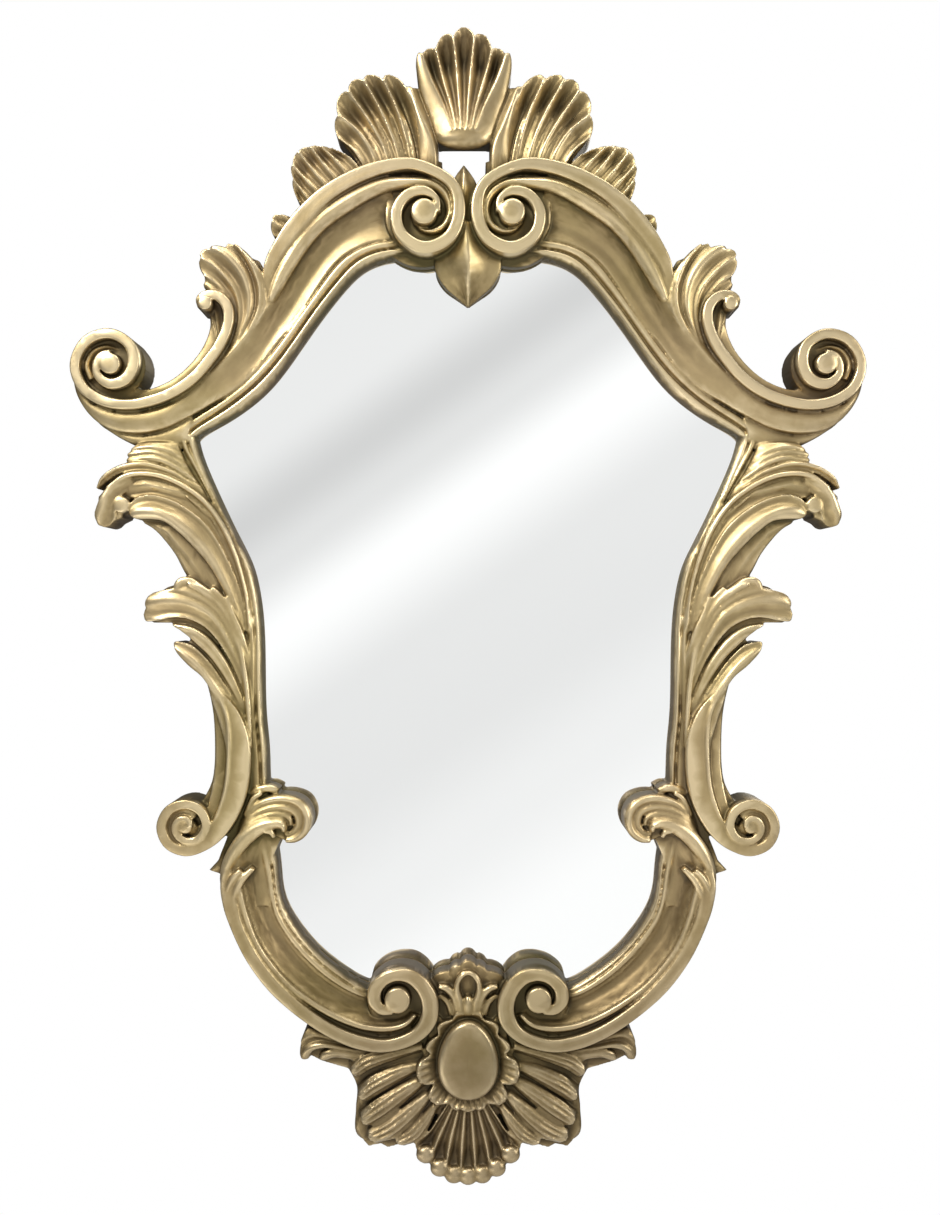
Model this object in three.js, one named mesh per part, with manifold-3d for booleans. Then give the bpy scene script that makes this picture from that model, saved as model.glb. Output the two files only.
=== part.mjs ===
// Carved wall mirror: a painted wood frame of scrolls, leaves and shells around a shaped glass.
// Millimetres. X runs to the right, Y runs into the wall and Z runs up.
// The origin is on the back face of the hanger plate, at the top centre.
import * as THREE from 'three';
import { mergeVertices } from 'three/addons/utils/BufferGeometryUtils.js';
import Module from 'manifold-3d';

const wasm = await Module();
wasm.setup();

// Driving dimensions
const frameHeight = 1100;
const frameDepth = 50;
const glassThickness = 4;
const glassLap = 8;
const glassClearance = 1;
const boardThickness = 3;
const boardClearance = 1.5;
const rebateDepth = 12;
const fitGap = 0.3;
const sawDepth = 2;
const hangerWidth = 24;
const hangerLength = 62;
const hangerThickness = 2;
const keyholeSlotWidth = 5;
const keyholeHeadWidth = 11;
const keyholeTravel = 12;
const pocketMargin = 2.5;
const pocketRoom = 6;
const screwHeadWidth = 7;
const screwShankWidth = 3.4;
const screwLength = 14;
const screwInset = 7;

// Carving points are shares of the frame: x and z in parts of its height, rise in parts of its depth.
// They are measured from the middle of the frame, and rise is measured from the flat back.
const heightParts = 1100;
const depthParts = 50;
const share = frameHeight / heightParts;
const relief = frameDepth / depthParts;
const hangLine = 375;
const crestCentre = -4;

// Materials
const giltPaint = new THREE.MeshStandardMaterial({ color: 0xc9b17c, roughness: 0.42, metalness: 0.6 });
const silveredGlass = new THREE.MeshStandardMaterial({ color: 0xdfe3e1, roughness: 0.05, metalness: 1 });
const fibreBoard = new THREE.MeshStandardMaterial({ color: 0x8a6a45, roughness: 0.85, metalness: 0 });
const zincSteel = new THREE.MeshStandardMaterial({ color: 0xa9adb0, roughness: 0.4, metalness: 0.9 });
const screwSteel = new THREE.MeshStandardMaterial({ color: 0x8f9396, roughness: 0.35, metalness: 0.9 });

// Points and curves
function carve([x, z, rise]) {
  return new THREE.Vector3(x * share, -rise * relief, (z - hangLine) * share);
}

function level(points, rise) {
  return points.map(([x, z]) => [x, z, rise]);
}

function spline(points) {
  return new THREE.CatmullRomCurve3(points.map(carve), false, 'centripetal');
}

function matchedRow(points, steps) {
  const curve = new THREE.CatmullRomCurve3(points.map(carve), false, 'catmullrom', 0.5);
  return curve.getPoints(steps);
}

function evenRow(points, steps) {
  return spline(points).getSpacedPoints(steps);
}

function mixRows(rowA, rowB, part, rise) {
  return rowA.map((point, i) => {
    const mixed = point.clone().lerp(rowB[i], part);
    if (rise !== undefined) {
      mixed.y = -rise * relief;
    }
    return mixed;
  });
}

function coil(centre, fromAngle, turnStep, radii, rise) {
  return radii.map((radius, i) => {
    const angle = THREE.MathUtils.degToRad(fromAngle + i * turnStep);
    return [centre[0] + radius * Math.cos(angle), centre[1] + radius * Math.sin(angle), rise];
  });
}

// A closed body under a sheet of points: rows run along it, and its foot is flat, just behind the back plane
function bodyUnder(rows) {
  const across = rows.length;
  const along = rows[0].length;
  const sheet = rows.flat();
  const foot = sheet.length;
  const positions = [
    ...sheet.flatMap((point) => [point.x, point.y, point.z]),
    ...sheet.flatMap((point) => [point.x, sawDepth, point.z]),
  ];
  const index = [];
  for (let i = 0; i < across - 1; i++) {
    for (let j = 0; j < along - 1; j++) {
      const a = i * along + j;
      const b = a + along;
      index.push(a, b, a + 1, a + 1, b, b + 1);
      index.push(foot + a, foot + a + 1, foot + b, foot + a + 1, foot + b + 1, foot + b);
    }
  }
  const edge = [];
  for (let j = 0; j < along - 1; j++) {
    edge.push(j);
  }
  for (let i = 0; i < across - 1; i++) {
    edge.push(i * along + along - 1);
  }
  for (let j = along - 1; j > 0; j--) {
    edge.push((across - 1) * along + j);
  }
  for (let i = across - 1; i > 0; i--) {
    edge.push(i * along);
  }
  edge.forEach((k, n) => {
    const next = edge[(n + 1) % edge.length];
    index.push(k, next, foot + k, next, foot + next, foot + k);
  });
  const geometry = new THREE.BufferGeometry();
  geometry.setAttribute('position', new THREE.Float32BufferAttribute(positions, 3));
  geometry.setIndex(index);
  return geometry;
}

// A moulding lofted over rails that are sampled by their length
function loft(rails, steps) {
  return bodyUnder(rails.map((rail) => evenRow(rail, steps)));
}

// A flat band between two edges whose points pair up
function band(outer, inner, steps) {
  return bodyUnder([matchedRow(outer, steps), matchedRow(inner, steps)]);
}

// A stroke of the gouge along a path of [x, z, half width, rise]
function stroke(path, steps, crown, sides = [-1, 0, 1]) {
  const centres = matchedRow(path.map(([x, z, , rise]) => [x, z, rise]), steps);
  return bodyUnder(sides.map((side) => centres.map((centre, i) => {
    const before = centres[Math.max(i - 1, 0)];
    const after = centres[Math.min(i + 1, steps)];
    const run = after.clone().sub(before).setY(0).normalize();
    const at = i / steps * (path.length - 1);
    const k = Math.min(Math.floor(at), path.length - 2);
    const half = THREE.MathUtils.lerp(path[k][2], path[k + 1][2], at - k) * share;
    const lift = crown * (1 - side * side) * relief;
    return new THREE.Vector3(centre.x - run.z * half * side, centre.y - lift, centre.z + run.x * half * side);
  })));
}

// A fan of lobes between ridges that run from its root to its rim.
// A positive swell makes round lobes and a negative one makes hollow flutes that end in a raised rim.
function fan(ridges, { steps, perLobe, swell, tips, rim = 0 }) {
  const rows = ridges.map((ridge) => evenRow(ridge, steps));
  const sheet = [];
  for (let lobe = 0; lobe < rows.length - 1; lobe++) {
    const tip = (Array.isArray(tips) ? tips[lobe] : tips) * share;
    for (let s = lobe === 0 ? 0 : 1; s <= perLobe; s++) {
      const part = s / perLobe;
      const arch = Math.sin(Math.PI * part);
      sheet.push(mixRows(rows[lobe], rows[lobe + 1], part).map((point, j) => {
        const along = j / steps;
        const run = rows[lobe][steps].clone().add(rows[lobe + 1][steps]);
        run.sub(rows[lobe][steps - 1]).sub(rows[lobe + 1][steps - 1]).setY(0).normalize();
        point.addScaledVector(run, tip * arch * along ** 4);
        const depth = j === steps ? rim : swell * Math.min(1, 0.35 + along);
        point.y -= depth * arch * relief;
        return point;
      }));
    }
  }
  return bodyUnder(sheet);
}

// A round boss: a dome of a given radius that stands from the back up to its rise
function boss(x, z, radius, rise, crown, sides) {
  const top = -rise * relief;
  const edge = top + crown * relief;
  const profile = [
    new THREE.Vector2(0, sawDepth),
    new THREE.Vector2(radius * share, sawDepth),
    new THREE.Vector2(radius * share, edge),
    new THREE.Vector2(radius * share * 0.72, edge * 0.3 + top * 0.7),
    new THREE.Vector2(0, top),
  ];
  const geometry = new THREE.LatheGeometry(profile, sides);
  const centre = carve([x, z, 0]);
  geometry.translate(centre.x, 0, centre.z);
  return geometry;
}

// Solids from geometries, joined and cut
function toSolid(source) {
  const bare = source.clone();
  bare.deleteAttribute('normal');
  bare.deleteAttribute('uv');
  const geometry = mergeVertices(bare, 1e-4);
  const vertices = geometry.attributes.position.array;
  const index = [];
  let volume = 0;
  const a = new THREE.Vector3();
  const b = new THREE.Vector3();
  const c = new THREE.Vector3();
  for (let i = 0; i < geometry.index.count; i += 3) {
    const [p, q, r] = [0, 1, 2].map((k) => geometry.index.getX(i + k));
    if (p === q || q === r || r === p) {
      continue;
    }
    index.push(p, q, r);
    a.fromArray(vertices, 3 * p);
    b.fromArray(vertices, 3 * q);
    c.fromArray(vertices, 3 * r);
    volume += a.dot(b.cross(c));
  }
  if (volume < 0) {
    index.reverse();
  }
  return new wasm.Manifold(new wasm.Mesh({
    numProp: 3,
    vertProperties: Float32Array.from(vertices),
    triVerts: Uint32Array.from(index),
  }));
}

function toGeometry(solid) {
  const mesh = solid.getMesh();
  const geometry = new THREE.BufferGeometry();
  geometry.setAttribute('position', new THREE.BufferAttribute(mesh.vertProperties, 3));
  geometry.setIndex(new THREE.BufferAttribute(mesh.triVerts, 1));
  return geometry;
}

function join(geometries) {
  return geometries.map(toSolid).reduce((sum, solid) => sum.add(solid));
}

function mirrored(geometry, centre = 0) {
  const copy = geometry.clone();
  copy.translate(-centre * share, 0, 0);
  copy.scale(-1, 1, 1);
  copy.translate(centre * share, 0, 0);
  return copy;
}

function bothSides(geometries, centre = 0) {
  return geometries.flatMap((geometry) => [geometry, mirrored(geometry, centre)]);
}

// Eyes: the centres of the four volutes on the left half
const topEye = [-41, 373.5];
const hornEye = [-337, 230];
const stemEye = [-262, -206];
const footEye = [-66, -369];

// Arch: the flat outer band that runs up to the top volute and coils into its eye
function archBand() {
  const outer = [
    [-191, 299, 40], [-193, 322, 43], [-183, 345, 45], [-165, 371, 46], [-140, 395, 46],
    [-111, 412, 46], [-80, 422, 46], [-50, 423.5, 46],
    ...coil(topEye, 45, -45, [42, 38.5, 39.5, 40, 36.5, 32, 27.5, 24, 19, 15], 46),
  ];
  const inner = [
    [-189, 297, 40], [-184, 316, 42], [-172, 336, 44], [-153, 359, 45], [-130, 383, 45],
    [-105, 399, 45], [-76, 410, 45], [-50, 412.5, 45],
    ...coil(topEye, 45, -45, [31.5, 26.5, 27.5, 28, 25, 21, 17.5, 15, 13.6, 13.2], 45),
  ];
  return band(outer, inner, 30);
}

// Top volute: a round ground, the inner roll that winds beside the band, and the eye
function topVolute() {
  const rollOuter = [
    [-92, 401, 42], [-72, 406, 43],
    ...coil(topEye, 95, -45, [32.5, 29.5, 26.3, 22.5, 19, 16, 14], 43),
  ];
  const rollInner = [
    [-90, 392, 39], [-70, 397, 41],
    ...coil(topEye, 95, -45, [25, 23, 20.5, 17, 14, 12.5, 12], 42),
  ];
  return [
    boss(topEye[0], topEye[1], 38, 34, 1, 12),
    boss(topEye[0] - 3, topEye[1] - 1, 45.5, 23, 1, 14),
    boss(topEye[0] - 1, topEye[1], 13, 49, 3, 10),
    band(rollOuter, rollInner, 10),
  ];
}

// Shoulder: the roll along the arch and the wide cove that falls from it, out to the horn
const shoulderRidge = [
  [-74, 402.5], [-86, 400], [-100, 393], [-120, 380], [-140, 366], [-160, 343], [-175, 318], [-185, 298],
  [-196, 279], [-212, 258], [-232, 236], [-259, 209], [-285, 192], [-319, 184.5], [-345, 188], [-360, 194],
];
const shoulderCrease = [
  [-66, 352.5], [-80, 351.5], [-96, 348.5], [-111, 342], [-126, 331], [-141, 311], [-166, 273], [-182, 253.5],
  [-202, 226], [-222, 208], [-243, 195], [-263, 183], [-289, 170], [-317, 165.5], [-346, 171.5],
];

function shoulder() {
  const steps = 15;
  const ridge = evenRow(level(shoulderRidge, 43), steps);
  const crease = evenRow(level(shoulderCrease, 28), steps);
  return bodyUnder([
    mixRows(ridge, crease, -0.24, 35),
    mixRows(ridge, crease, -0.07, 37),
    ridge,
    mixRows(ridge, crease, 0.2, 38),
    mixRows(ridge, crease, 0.6, 27),
    mixRows(ridge, crease, 1.03, 28.5),
  ]);
}

// Sight edge: a fillet between two creases, and the steep bevel down to the glass
const creaseLine = [
  [-58, 354], [-76, 352], [-96, 348.5], [-118, 338], [-134, 321], [-153, 292], [-177, 260], [-199, 230],
  [-222, 208], [-247, 192], [-272, 177], [-278, 167], [-275, 156], [-263, 138], [-247, 108], [-232, 75],
  [-222, 50], [-214, 28], [-210.5, 0], [-210.5, -50], [-210.5, -105], [-208, -136], [-208, -172],
  [-206, -210], [-196, -245], [-192, -265], [-188, -290], [-176, -312], [-160, -333], [-140, -352],
  [-118, -366], [-98, -374], [-70, -378],
];
const filletLine = [
  [-56, 345], [-73, 342.5], [-91, 340], [-110, 330], [-127, 310], [-146.5, 286], [-168, 254], [-190.5, 225],
  [-214, 203], [-239, 185], [-263, 170], [-268.5, 162.5], [-266, 152], [-256, 131], [-241, 96], [-227, 70],
  [-214, 40], [-208, 14], [-203.5, -11], [-202.5, -50], [-202.5, -105], [-198.5, -130], [-197, -169],
  [-195, -210], [-186, -245], [-184.5, -270], [-179, -292], [-166, -311], [-148, -332], [-128.5, -348],
  [-111, -360], [-96, -368], [-70, -372],
];
const glassLine = [
  [-55, 337], [-69.7, 337.2], [-86, 333], [-102.5, 325], [-119, 308.5], [-140.4, 281.4], [-162, 251],
  [-186.5, 215], [-209, 194.8], [-233.7, 178.4], [-254, 169], [-260.4, 164], [-258, 152.7], [-251, 132],
  [-239, 106.6], [-223.5, 71.8], [-208, 45], [-201.5, 18.5], [-198, -9], [-196.3, -50], [-195.8, -105],
  [-191.7, -134], [-192, -168], [-188, -210], [-181.4, -240], [-180.5, -270], [-174, -290], [-160, -312],
  [-143.5, -331.6], [-126, -345.4], [-109, -357], [-94, -364], [-70, -368],
];

function sightEdge() {
  const steps = creaseLine.length - 1;
  const crease = matchedRow(level(creaseLine, 29.5), steps);
  const fillet = matchedRow(level(filletLine, 28.5), steps);
  const glass = matchedRow(level(glassLine, 12), steps);
  return bodyUnder([
    crease,
    fillet,
    mixRows(fillet, glass, 0.3, 26.5),
    glass,
  ]);
}

// Horn: the long curl that starts over the upper leaf, runs out under the horn and coils into its eye
function hornBand() {
  const path = [
    [-251, 284, 3, 44], [-249, 293, 3.5, 44], [-240.6, 293.7, 4, 45], [-229, 289, 4.5, 45],
    [-225, 277.6, 5, 45], [-228, 263.6, 5, 45], [-235, 247, 5, 45], [-245, 233, 5, 45], [-256, 220, 5, 45],
    [-268.6, 209, 5, 45], [-284, 200.6, 5, 45], [-301, 195, 5, 45], [-319, 191.5, 5, 45], [-336, 193, 5, 45],
    [-351, 198.5, 5, 45], [-364, 209, 5, 45],
    ...coil(hornEye, 180, -45, [33.5, 31, 28.5, 25.5, 22, 20.5, 19, 16, 13.5, 12.5, 12], 46)
      .map(([x, z, rise], i) => [x, z, [4, 4, 4, 4.6, 5.4, 5.2, 4.8, 3.6, 2.6, 2, 1.5][i], rise]),
  ];
  return stroke(path, 30, 0, [-1, 1]);
}

function hornGround() {
  const path = [
    [-240, 287, 8, 31], [-236, 268, 10, 31], [-243, 244, 11, 31], [-262, 220, 11, 31], [-285, 204, 11, 31],
    [-312, 198, 10, 31], [-334, 204, 12, 32], [-346, 216, 14, 32],
  ];
  const underside = loft([
    level([[-350, 182], [-332, 170], [-310, 168], [-289, 174], [-262, 190]], 27),
    [[-360, 184, 35], [-348, 172, 34], [-328, 160, 33], [-314, 153, 32], [-272, 152, 28]],
  ], 6);
  const lip = loft([
    [[-346, 172, 27], [-362, 195, 36]],
    [[-358, 180, 35], [-372, 211, 42]],
  ], 2);
  return [
    stroke(path, 8, 1),
    boss(hornEye[0] + 1, hornEye[1], 29, 35, 1, 12),
    boss(hornEye[0], hornEye[1], 9.5, 49, 2.5, 8),
    underside,
    lip,
  ];
}

// Upper leaf: a ribbed leaf that stands between the arch and the horn
function upperLeaf() {
  return fan([
    [[-238, 240, 36], [-241, 262, 37], [-248, 286, 38], [-250, 311, 40]],
    [[-236, 238, 38], [-238, 265, 38], [-244, 300, 39], [-253, 333, 41]],
    [[-233, 236, 38], [-231, 265, 38], [-231, 302, 39], [-231.5, 341, 42]],
    [[-229, 233, 37], [-222, 258, 37], [-215, 296, 38], [-206, 333, 41]],
    [[-225, 230, 34], [-211, 254, 35], [-197, 277, 37], [-191, 314, 39]],
  ], { steps: 4, perLobe: 2, swell: -5, tips: [4, 8, 6, 7], rim: -1 });
}

// Side ground: the wood that the side leaves grow from, along the outside of the sight edge
function sideGround() {
  return loft([
    level([
      [-259, 140], [-244, 108], [-230, 75], [-219, 48], [-211, 26], [-208, 0], [-208, -60], [-208, -120],
    ], 27),
    level([
      [-296, 142], [-280, 108], [-250, 72], [-238, 42], [-232, 12], [-226, -20], [-222, -62], [-222, -120],
    ], 26),
  ], 9);
}

// Upper side leaves: ribs that sweep down from the horn to the sight edge, and the curl at their tip
function upperSideLeaves() {
  return [
    fan([
      [[-264, 150, 29], [-279, 149, 33], [-293, 154, 35], [-314, 154, 36]],
      [[-259, 128, 30], [-278, 132, 36], [-300, 138, 38], [-319, 137, 38]],
      [[-250, 104, 30], [-272, 119, 37], [-302, 130, 40], [-345, 118, 39]],
    ], { steps: 3, perLobe: 2, swell: 4, tips: [7, 10], rim: 0 }),
    fan([
      [[-211, -4, 31], [-219, 42, 34], [-240, 88, 37], [-274, 118, 39], [-312, 128, 41], [-346, 113, 40]],
      [[-217, 0, 33], [-229, 54, 36], [-255, 95, 38], [-290, 107, 39], [-320, 102, 38]],
    ], { steps: 6, perLobe: 2, swell: 5, tips: 4, rim: 0 }),
    fan([
      [[-216, -2, 33], [-226, 45, 36], [-252, 90, 38], [-288, 106, 39], [-319, 100, 38]],
      [[-228, 2, 33], [-243, 34, 36], [-268, 68, 38], [-290, 84, 38], [-313, 84, 37]],
      [[-240, 4, 31], [-262, 22, 33], [-279, 52, 35], [-291, 68, 35], [-305, 79, 35]],
    ], { steps: 4, perLobe: 2, swell: 4, tips: [5, 3], rim: 0 }),
    stroke([
      [-322, 117, 8, 40], [-338, 111, 8.5, 41], [-345, 98, 8, 42], [-341, 86, 7, 42], [-331, 87, 5, 42],
      [-329, 95, 4, 42],
    ], 6, 1.5),
    stroke([[-318, 98, 10, 33], [-332, 100, 14, 33], [-338, 98, 14, 33]], 4, 1),
  ];
}

// Lower side leaves: three lobes and a small curl that sweep down to the stem
function lowerSideLeaves() {
  return [
    fan([
      [[-211, -55, 30], [-217, -25, 33], [-230, 4, 36], [-247, 19, 38], [-264, 27, 38]],
      [[-211, -68, 32], [-221, -30, 35], [-242, 2, 38], [-268, 13, 39], [-298, 13, 38]],
      [[-212, -80, 32], [-227, -46, 35], [-250, -22, 38], [-272, -15, 39], [-300, -15, 37]],
    ], { steps: 4, perLobe: 2, swell: 4, tips: [5, 8], rim: 0 }),
    fan([
      [[-208, -86, 33], [-226, -48, 35], [-248, -24, 37], [-279, -15, 36]],
      [[-213, -92, 33], [-229, -62, 36], [-246, -42, 37], [-264, -29, 37]],
      [[-216, -108, 32], [-230, -84, 35], [-242, -70, 36], [-253, -62, 36]],
    ], { steps: 3, perLobe: 2, swell: 4, tips: [3, 16], rim: 0 }),
    stroke([[-250, 16, 5, 39], [-262, 25, 5, 40], [-272, 25, 4.5, 41], [-273, 17, 4, 41]], 7, 1.5),
  ];
}

// Stem: the side scroll that coils into a volute over the lower band
function stemScroll() {
  const path = [
    [-246, -60, 6, 35], [-236, -82, 10, 37], [-226, -108, 16, 38], [-224, -130, 17, 38],
    [-224.5, -155, 17, 39], [-229, -178, 16.5, 41], [-238, -200, 13, 43], [-250, -217, 10, 44],
    [-265, -224, 8.5, 45],
    [-279, -217, 8, 45.5], [-284, -203, 7.5, 46], [-276, -191, 6.5, 46.5], [-264, -191, 5, 47],
    [-258, -199, 4, 47],
  ];
  return [
    stroke(path, 20, 2.5),
    stroke([
      [-212, -100, 9, 31], [-212, -150, 9, 31], [-214, -200, 12, 31], [-222, -240, 14, 31],
    ], 4, 0, [-1, 1]),
    boss(stemEye[0] - 3, stemEye[1] + 1, 24, 36, 1, 12),
    boss(stemEye[0], stemEye[1] - 1, 8, 48, 2.5, 8),
    fan([
      [[-228, -228, 32], [-236, -238, 32], [-246, -250, 30]],
      [[-224, -246, 32], [-230, -250, 32], [-236, -254, 30]],
    ], { steps: 3, perLobe: 2, swell: 2, tips: 1, rim: 0 }),
  ];
}

// Comma scroll: nested ribs that curl in over the glass
function commaScroll() {
  return [
    loft([
      [[-206, -168, 30], [-188, -178, 31], [-170, -179, 31], [-155, -185, 31], [-149, -197, 31]],
      [[-226, -250, 32], [-200, -222, 33], [-182, -222, 33], [-166, -222, 33], [-154, -215, 32]],
    ], 5),
    stroke([
      [-208, -188, 7, 36], [-190, -188, 8, 38], [-173, -187, 8, 39], [-160, -192, 8, 40], [-156, -203, 8, 40],
      [-162, -214, 7, 39], [-173, -217, 5, 38],
    ], 8, 3),
    stroke([
      [-228, -258, 7, 37], [-226, -240, 7, 39], [-217, -224, 7, 41], [-206, -212, 7, 42],
      [-193, -204, 6.5, 43], [-180, -202, 6, 44], [-173, -206, 4.5, 44],
    ], 8, 2),
    stroke([[-203, -285, 9, 37], [-211, -262, 9, 38], [-207, -240, 7, 38], [-196, -222, 5, 38]], 4, 1.5),
  ];
}

// Lower band: the outer band under the frame, coiling into the foot volute
function lowerBand() {
  const outer = [
    [-228, -244, 36], [-233, -260, 42], [-231, -281, 44], [-225.5, -297.5, 45], [-210, -330, 46],
    [-189, -359, 46], [-164, -382, 46], [-133, -403, 46], [-103, -415.5, 46], [-76, -418, 46],
    ...coil(footEye, -62, 31, [44, 42, 37.5, 33.5, 31.5, 29, 28.7, 30, 28, 22, 15], 46),
  ];
  const inner = [
    [-222, -246, 36], [-218, -262, 42], [-214, -280, 44], [-211, -298, 45], [-196, -332, 45],
    [-171, -363, 45], [-149, -381, 45], [-122, -398, 45], [-98, -407, 45], [-74, -409, 45],
    ...coil(footEye, -62, 31, [33, 29, 22, 19, 18.3, 18, 17.6, 17.2, 15.5, 12.6, 11.5], 45),
  ];
  return band(outer, inner, 30);
}

const lowerRidge = [
  [-214, -262], [-207, -290], [-198, -323.5], [-184, -343.5], [-169, -360], [-150, -374], [-130, -385],
  [-112, -393], [-97, -397], [-74, -399], [-57, -394],
];
const lowerCrease = [
  [-196, -248], [-191, -276], [-183, -298], [-169, -320], [-150, -342], [-134, -355], [-117, -366],
  [-100, -373], [-82, -377], [-68, -378], [-60, -376],
];

function lowerCove() {
  const steps = 10;
  const ridge = evenRow(level(lowerRidge, 43), steps);
  const crease = evenRow(level(lowerCrease, 29), steps);
  return bodyUnder([
    mixRows(ridge, crease, -0.6, 35),
    mixRows(ridge, crease, -0.16, 37),
    ridge,
    mixRows(ridge, crease, 0.6, 28),
    crease,
  ]);
}

function footVolute() {
  return [
    boss(footEye[0] + 2, footEye[1] - 2, 32, 35, 1, 12),
    boss(footEye[0], footEye[1], 12, 49, 3, 9),
  ];
}

// Central drop: a pointed leaf that hangs between the top volutes, and the small leaf over them
function centreDrop() {
  return [
    loft([
      [[-24, 356, 26], [-30, 322, 25], [-22, 308, 22], [-10, 298, 18], [-1, 290, 14]],
      [[-9, 358, 33], [-13, 325, 31], [-10, 312, 28], [-5, 301, 24], [-0.6, 291, 15]],
      [[-2, 360, 40], [-2, 330, 39], [-1.5, 315, 36], [-0.8, 303, 30], [-0.3, 291.5, 17]],
      [[2, 360, 40], [2, 330, 39], [1.5, 315, 36], [0.8, 303, 30], [0.3, 291.5, 17]],
      [[9, 358, 33], [13, 325, 31], [10, 312, 28], [5, 301, 24], [0.6, 291, 15]],
      [[24, 356, 26], [30, 322, 25], [22, 308, 22], [10, 298, 18], [1, 290, 14]],
    ], 6),
    loft([
      [[-16, 360, 31], [-17, 385, 31], [-16, 404, 31], [-10, 414, 31], [-5, 421, 30]],
      [[-3, 360, 36], [-3, 385, 38], [-4, 404, 39], [-4, 414, 37], [-4, 421.5, 32]],
      [[14, 360, 31], [14, 385, 31], [9, 404, 31], [2, 414, 31], [-3, 421, 30]],
    ], 5),
  ];
}

// Crest shell: deep flutes over a swelling lip, mirrored about the crest's own centre
function crestShell() {
  const flutes = fan([
    [[-26, 448, 40], [-32, 465, 37], [-43, 490, 34], [-48, 508, 35]],
    [[-16, 450, 44], [-22, 470, 36], [-34, 498, 33], [-42, 523, 37]],
    [[-12, 450, 45], [-16, 472, 36], [-25, 505, 33], [-30, 529, 38]],
    [[-7, 450, 45], [-8, 475, 36], [-11, 512, 33], [-13, 541, 39]],
    [[-1, 450, 45], [0, 475, 36], [3, 512, 33], [5, 541, 39]],
    [[4, 450, 45], [8, 472, 36], [17, 505, 33], [22, 529, 38]],
    [[8, 450, 44], [14, 470, 36], [26, 498, 33], [34, 523, 37]],
    [[18, 448, 40], [24, 465, 37], [35, 490, 34], [40, 508, 35]],
  ], { steps: 3, perLobe: 3, swell: -9, tips: [4, 4, 7, 9, 7, 4, 4], rim: -1 });
  const lip = loft([
    [[-30, 436, 20], [-18, 434, 22], [-4, 433, 22], [10, 434, 22], [22, 436, 20]],
    [[-30, 440, 38], [-18, 439, 42], [-4, 438, 43], [10, 439, 42], [22, 440, 38]],
    [[-28, 448, 43], [-18, 447, 48], [-4, 446, 49], [10, 447, 48], [20, 448, 43]],
    [[-26, 456, 40], [-17, 457, 46], [-4, 457, 47], [9, 457, 46], [18, 456, 40]],
    [[-26, 464, 30], [-16, 468, 30], [-4, 469, 30], [8, 468, 30], [18, 464, 30]],
  ], 6);
  return [flutes, lip];
}

// Crest panels: a plain web beside the shell, five flutes, six narrower ribs and a bud on the arch
function crestWing() {
  const web = loft([
    [[-27, 410, 30], [-28, 437, 32], [-38, 465, 31], [-50, 491, 30]],
    [[-34, 410, 28], [-38, 440, 27], [-46, 470, 27], [-54, 492, 28]],
    [[-44, 410, 30], [-47, 440, 30], [-52, 470, 30], [-57, 494, 32]],
  ], 4);
  const flutes = fan([
    [[-43, 412, 32], [-46, 440, 31], [-52, 472, 31], [-58, 494, 35]],
    [[-53, 414, 32], [-58, 442, 31], [-68, 474, 31], [-80, 500, 36]],
    [[-64, 414, 32], [-71, 441, 31], [-84, 472, 31], [-98, 499, 36]],
    [[-75, 413, 32], [-82, 440, 31], [-98, 466, 31], [-113, 488, 36]],
    [[-86, 411, 32], [-93, 434, 31], [-108, 454, 31], [-122, 466, 35]],
    [[-98, 408, 31], [-105, 424, 31], [-114, 436, 30], [-121, 443, 32]],
  ], { steps: 3, perLobe: 3, swell: -8, tips: [9, 8, 8, 9, 5], rim: -1 });
  const ribs = fan([
    [[-96, 406, 30], [-104, 420, 31], [-113, 430, 31], [-123, 435, 32]],
    [[-108, 403, 30], [-118, 416, 31], [-128, 428, 31], [-139, 438, 34]],
    [[-120, 396, 30], [-129, 411, 31], [-141, 425, 31], [-154, 438, 34]],
    [[-130, 389, 30], [-140, 403, 31], [-151, 415, 31], [-165, 425, 34]],
    [[-140, 381, 30], [-148, 393, 31], [-156, 402, 31], [-164, 409, 34]],
    [[-149, 372, 29], [-155, 380, 30], [-159, 387, 30], [-163, 392, 31]],
  ], { steps: 3, perLobe: 2, swell: -6, tips: [3, 5, 5, 5, 6], rim: -1 });
  const bud = fan([
    [[-156, 364, 30], [-162, 370, 31], [-171, 374, 32]],
    [[-163, 356, 30], [-172, 364, 32], [-182, 371, 33]],
    [[-170, 346, 30], [-177, 351, 31], [-184, 355, 31]],
  ], { steps: 2, perLobe: 2, swell: -4, tips: [4, 5], rim: -1 });
  return [web, flutes, ribs, bud];
}

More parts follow.
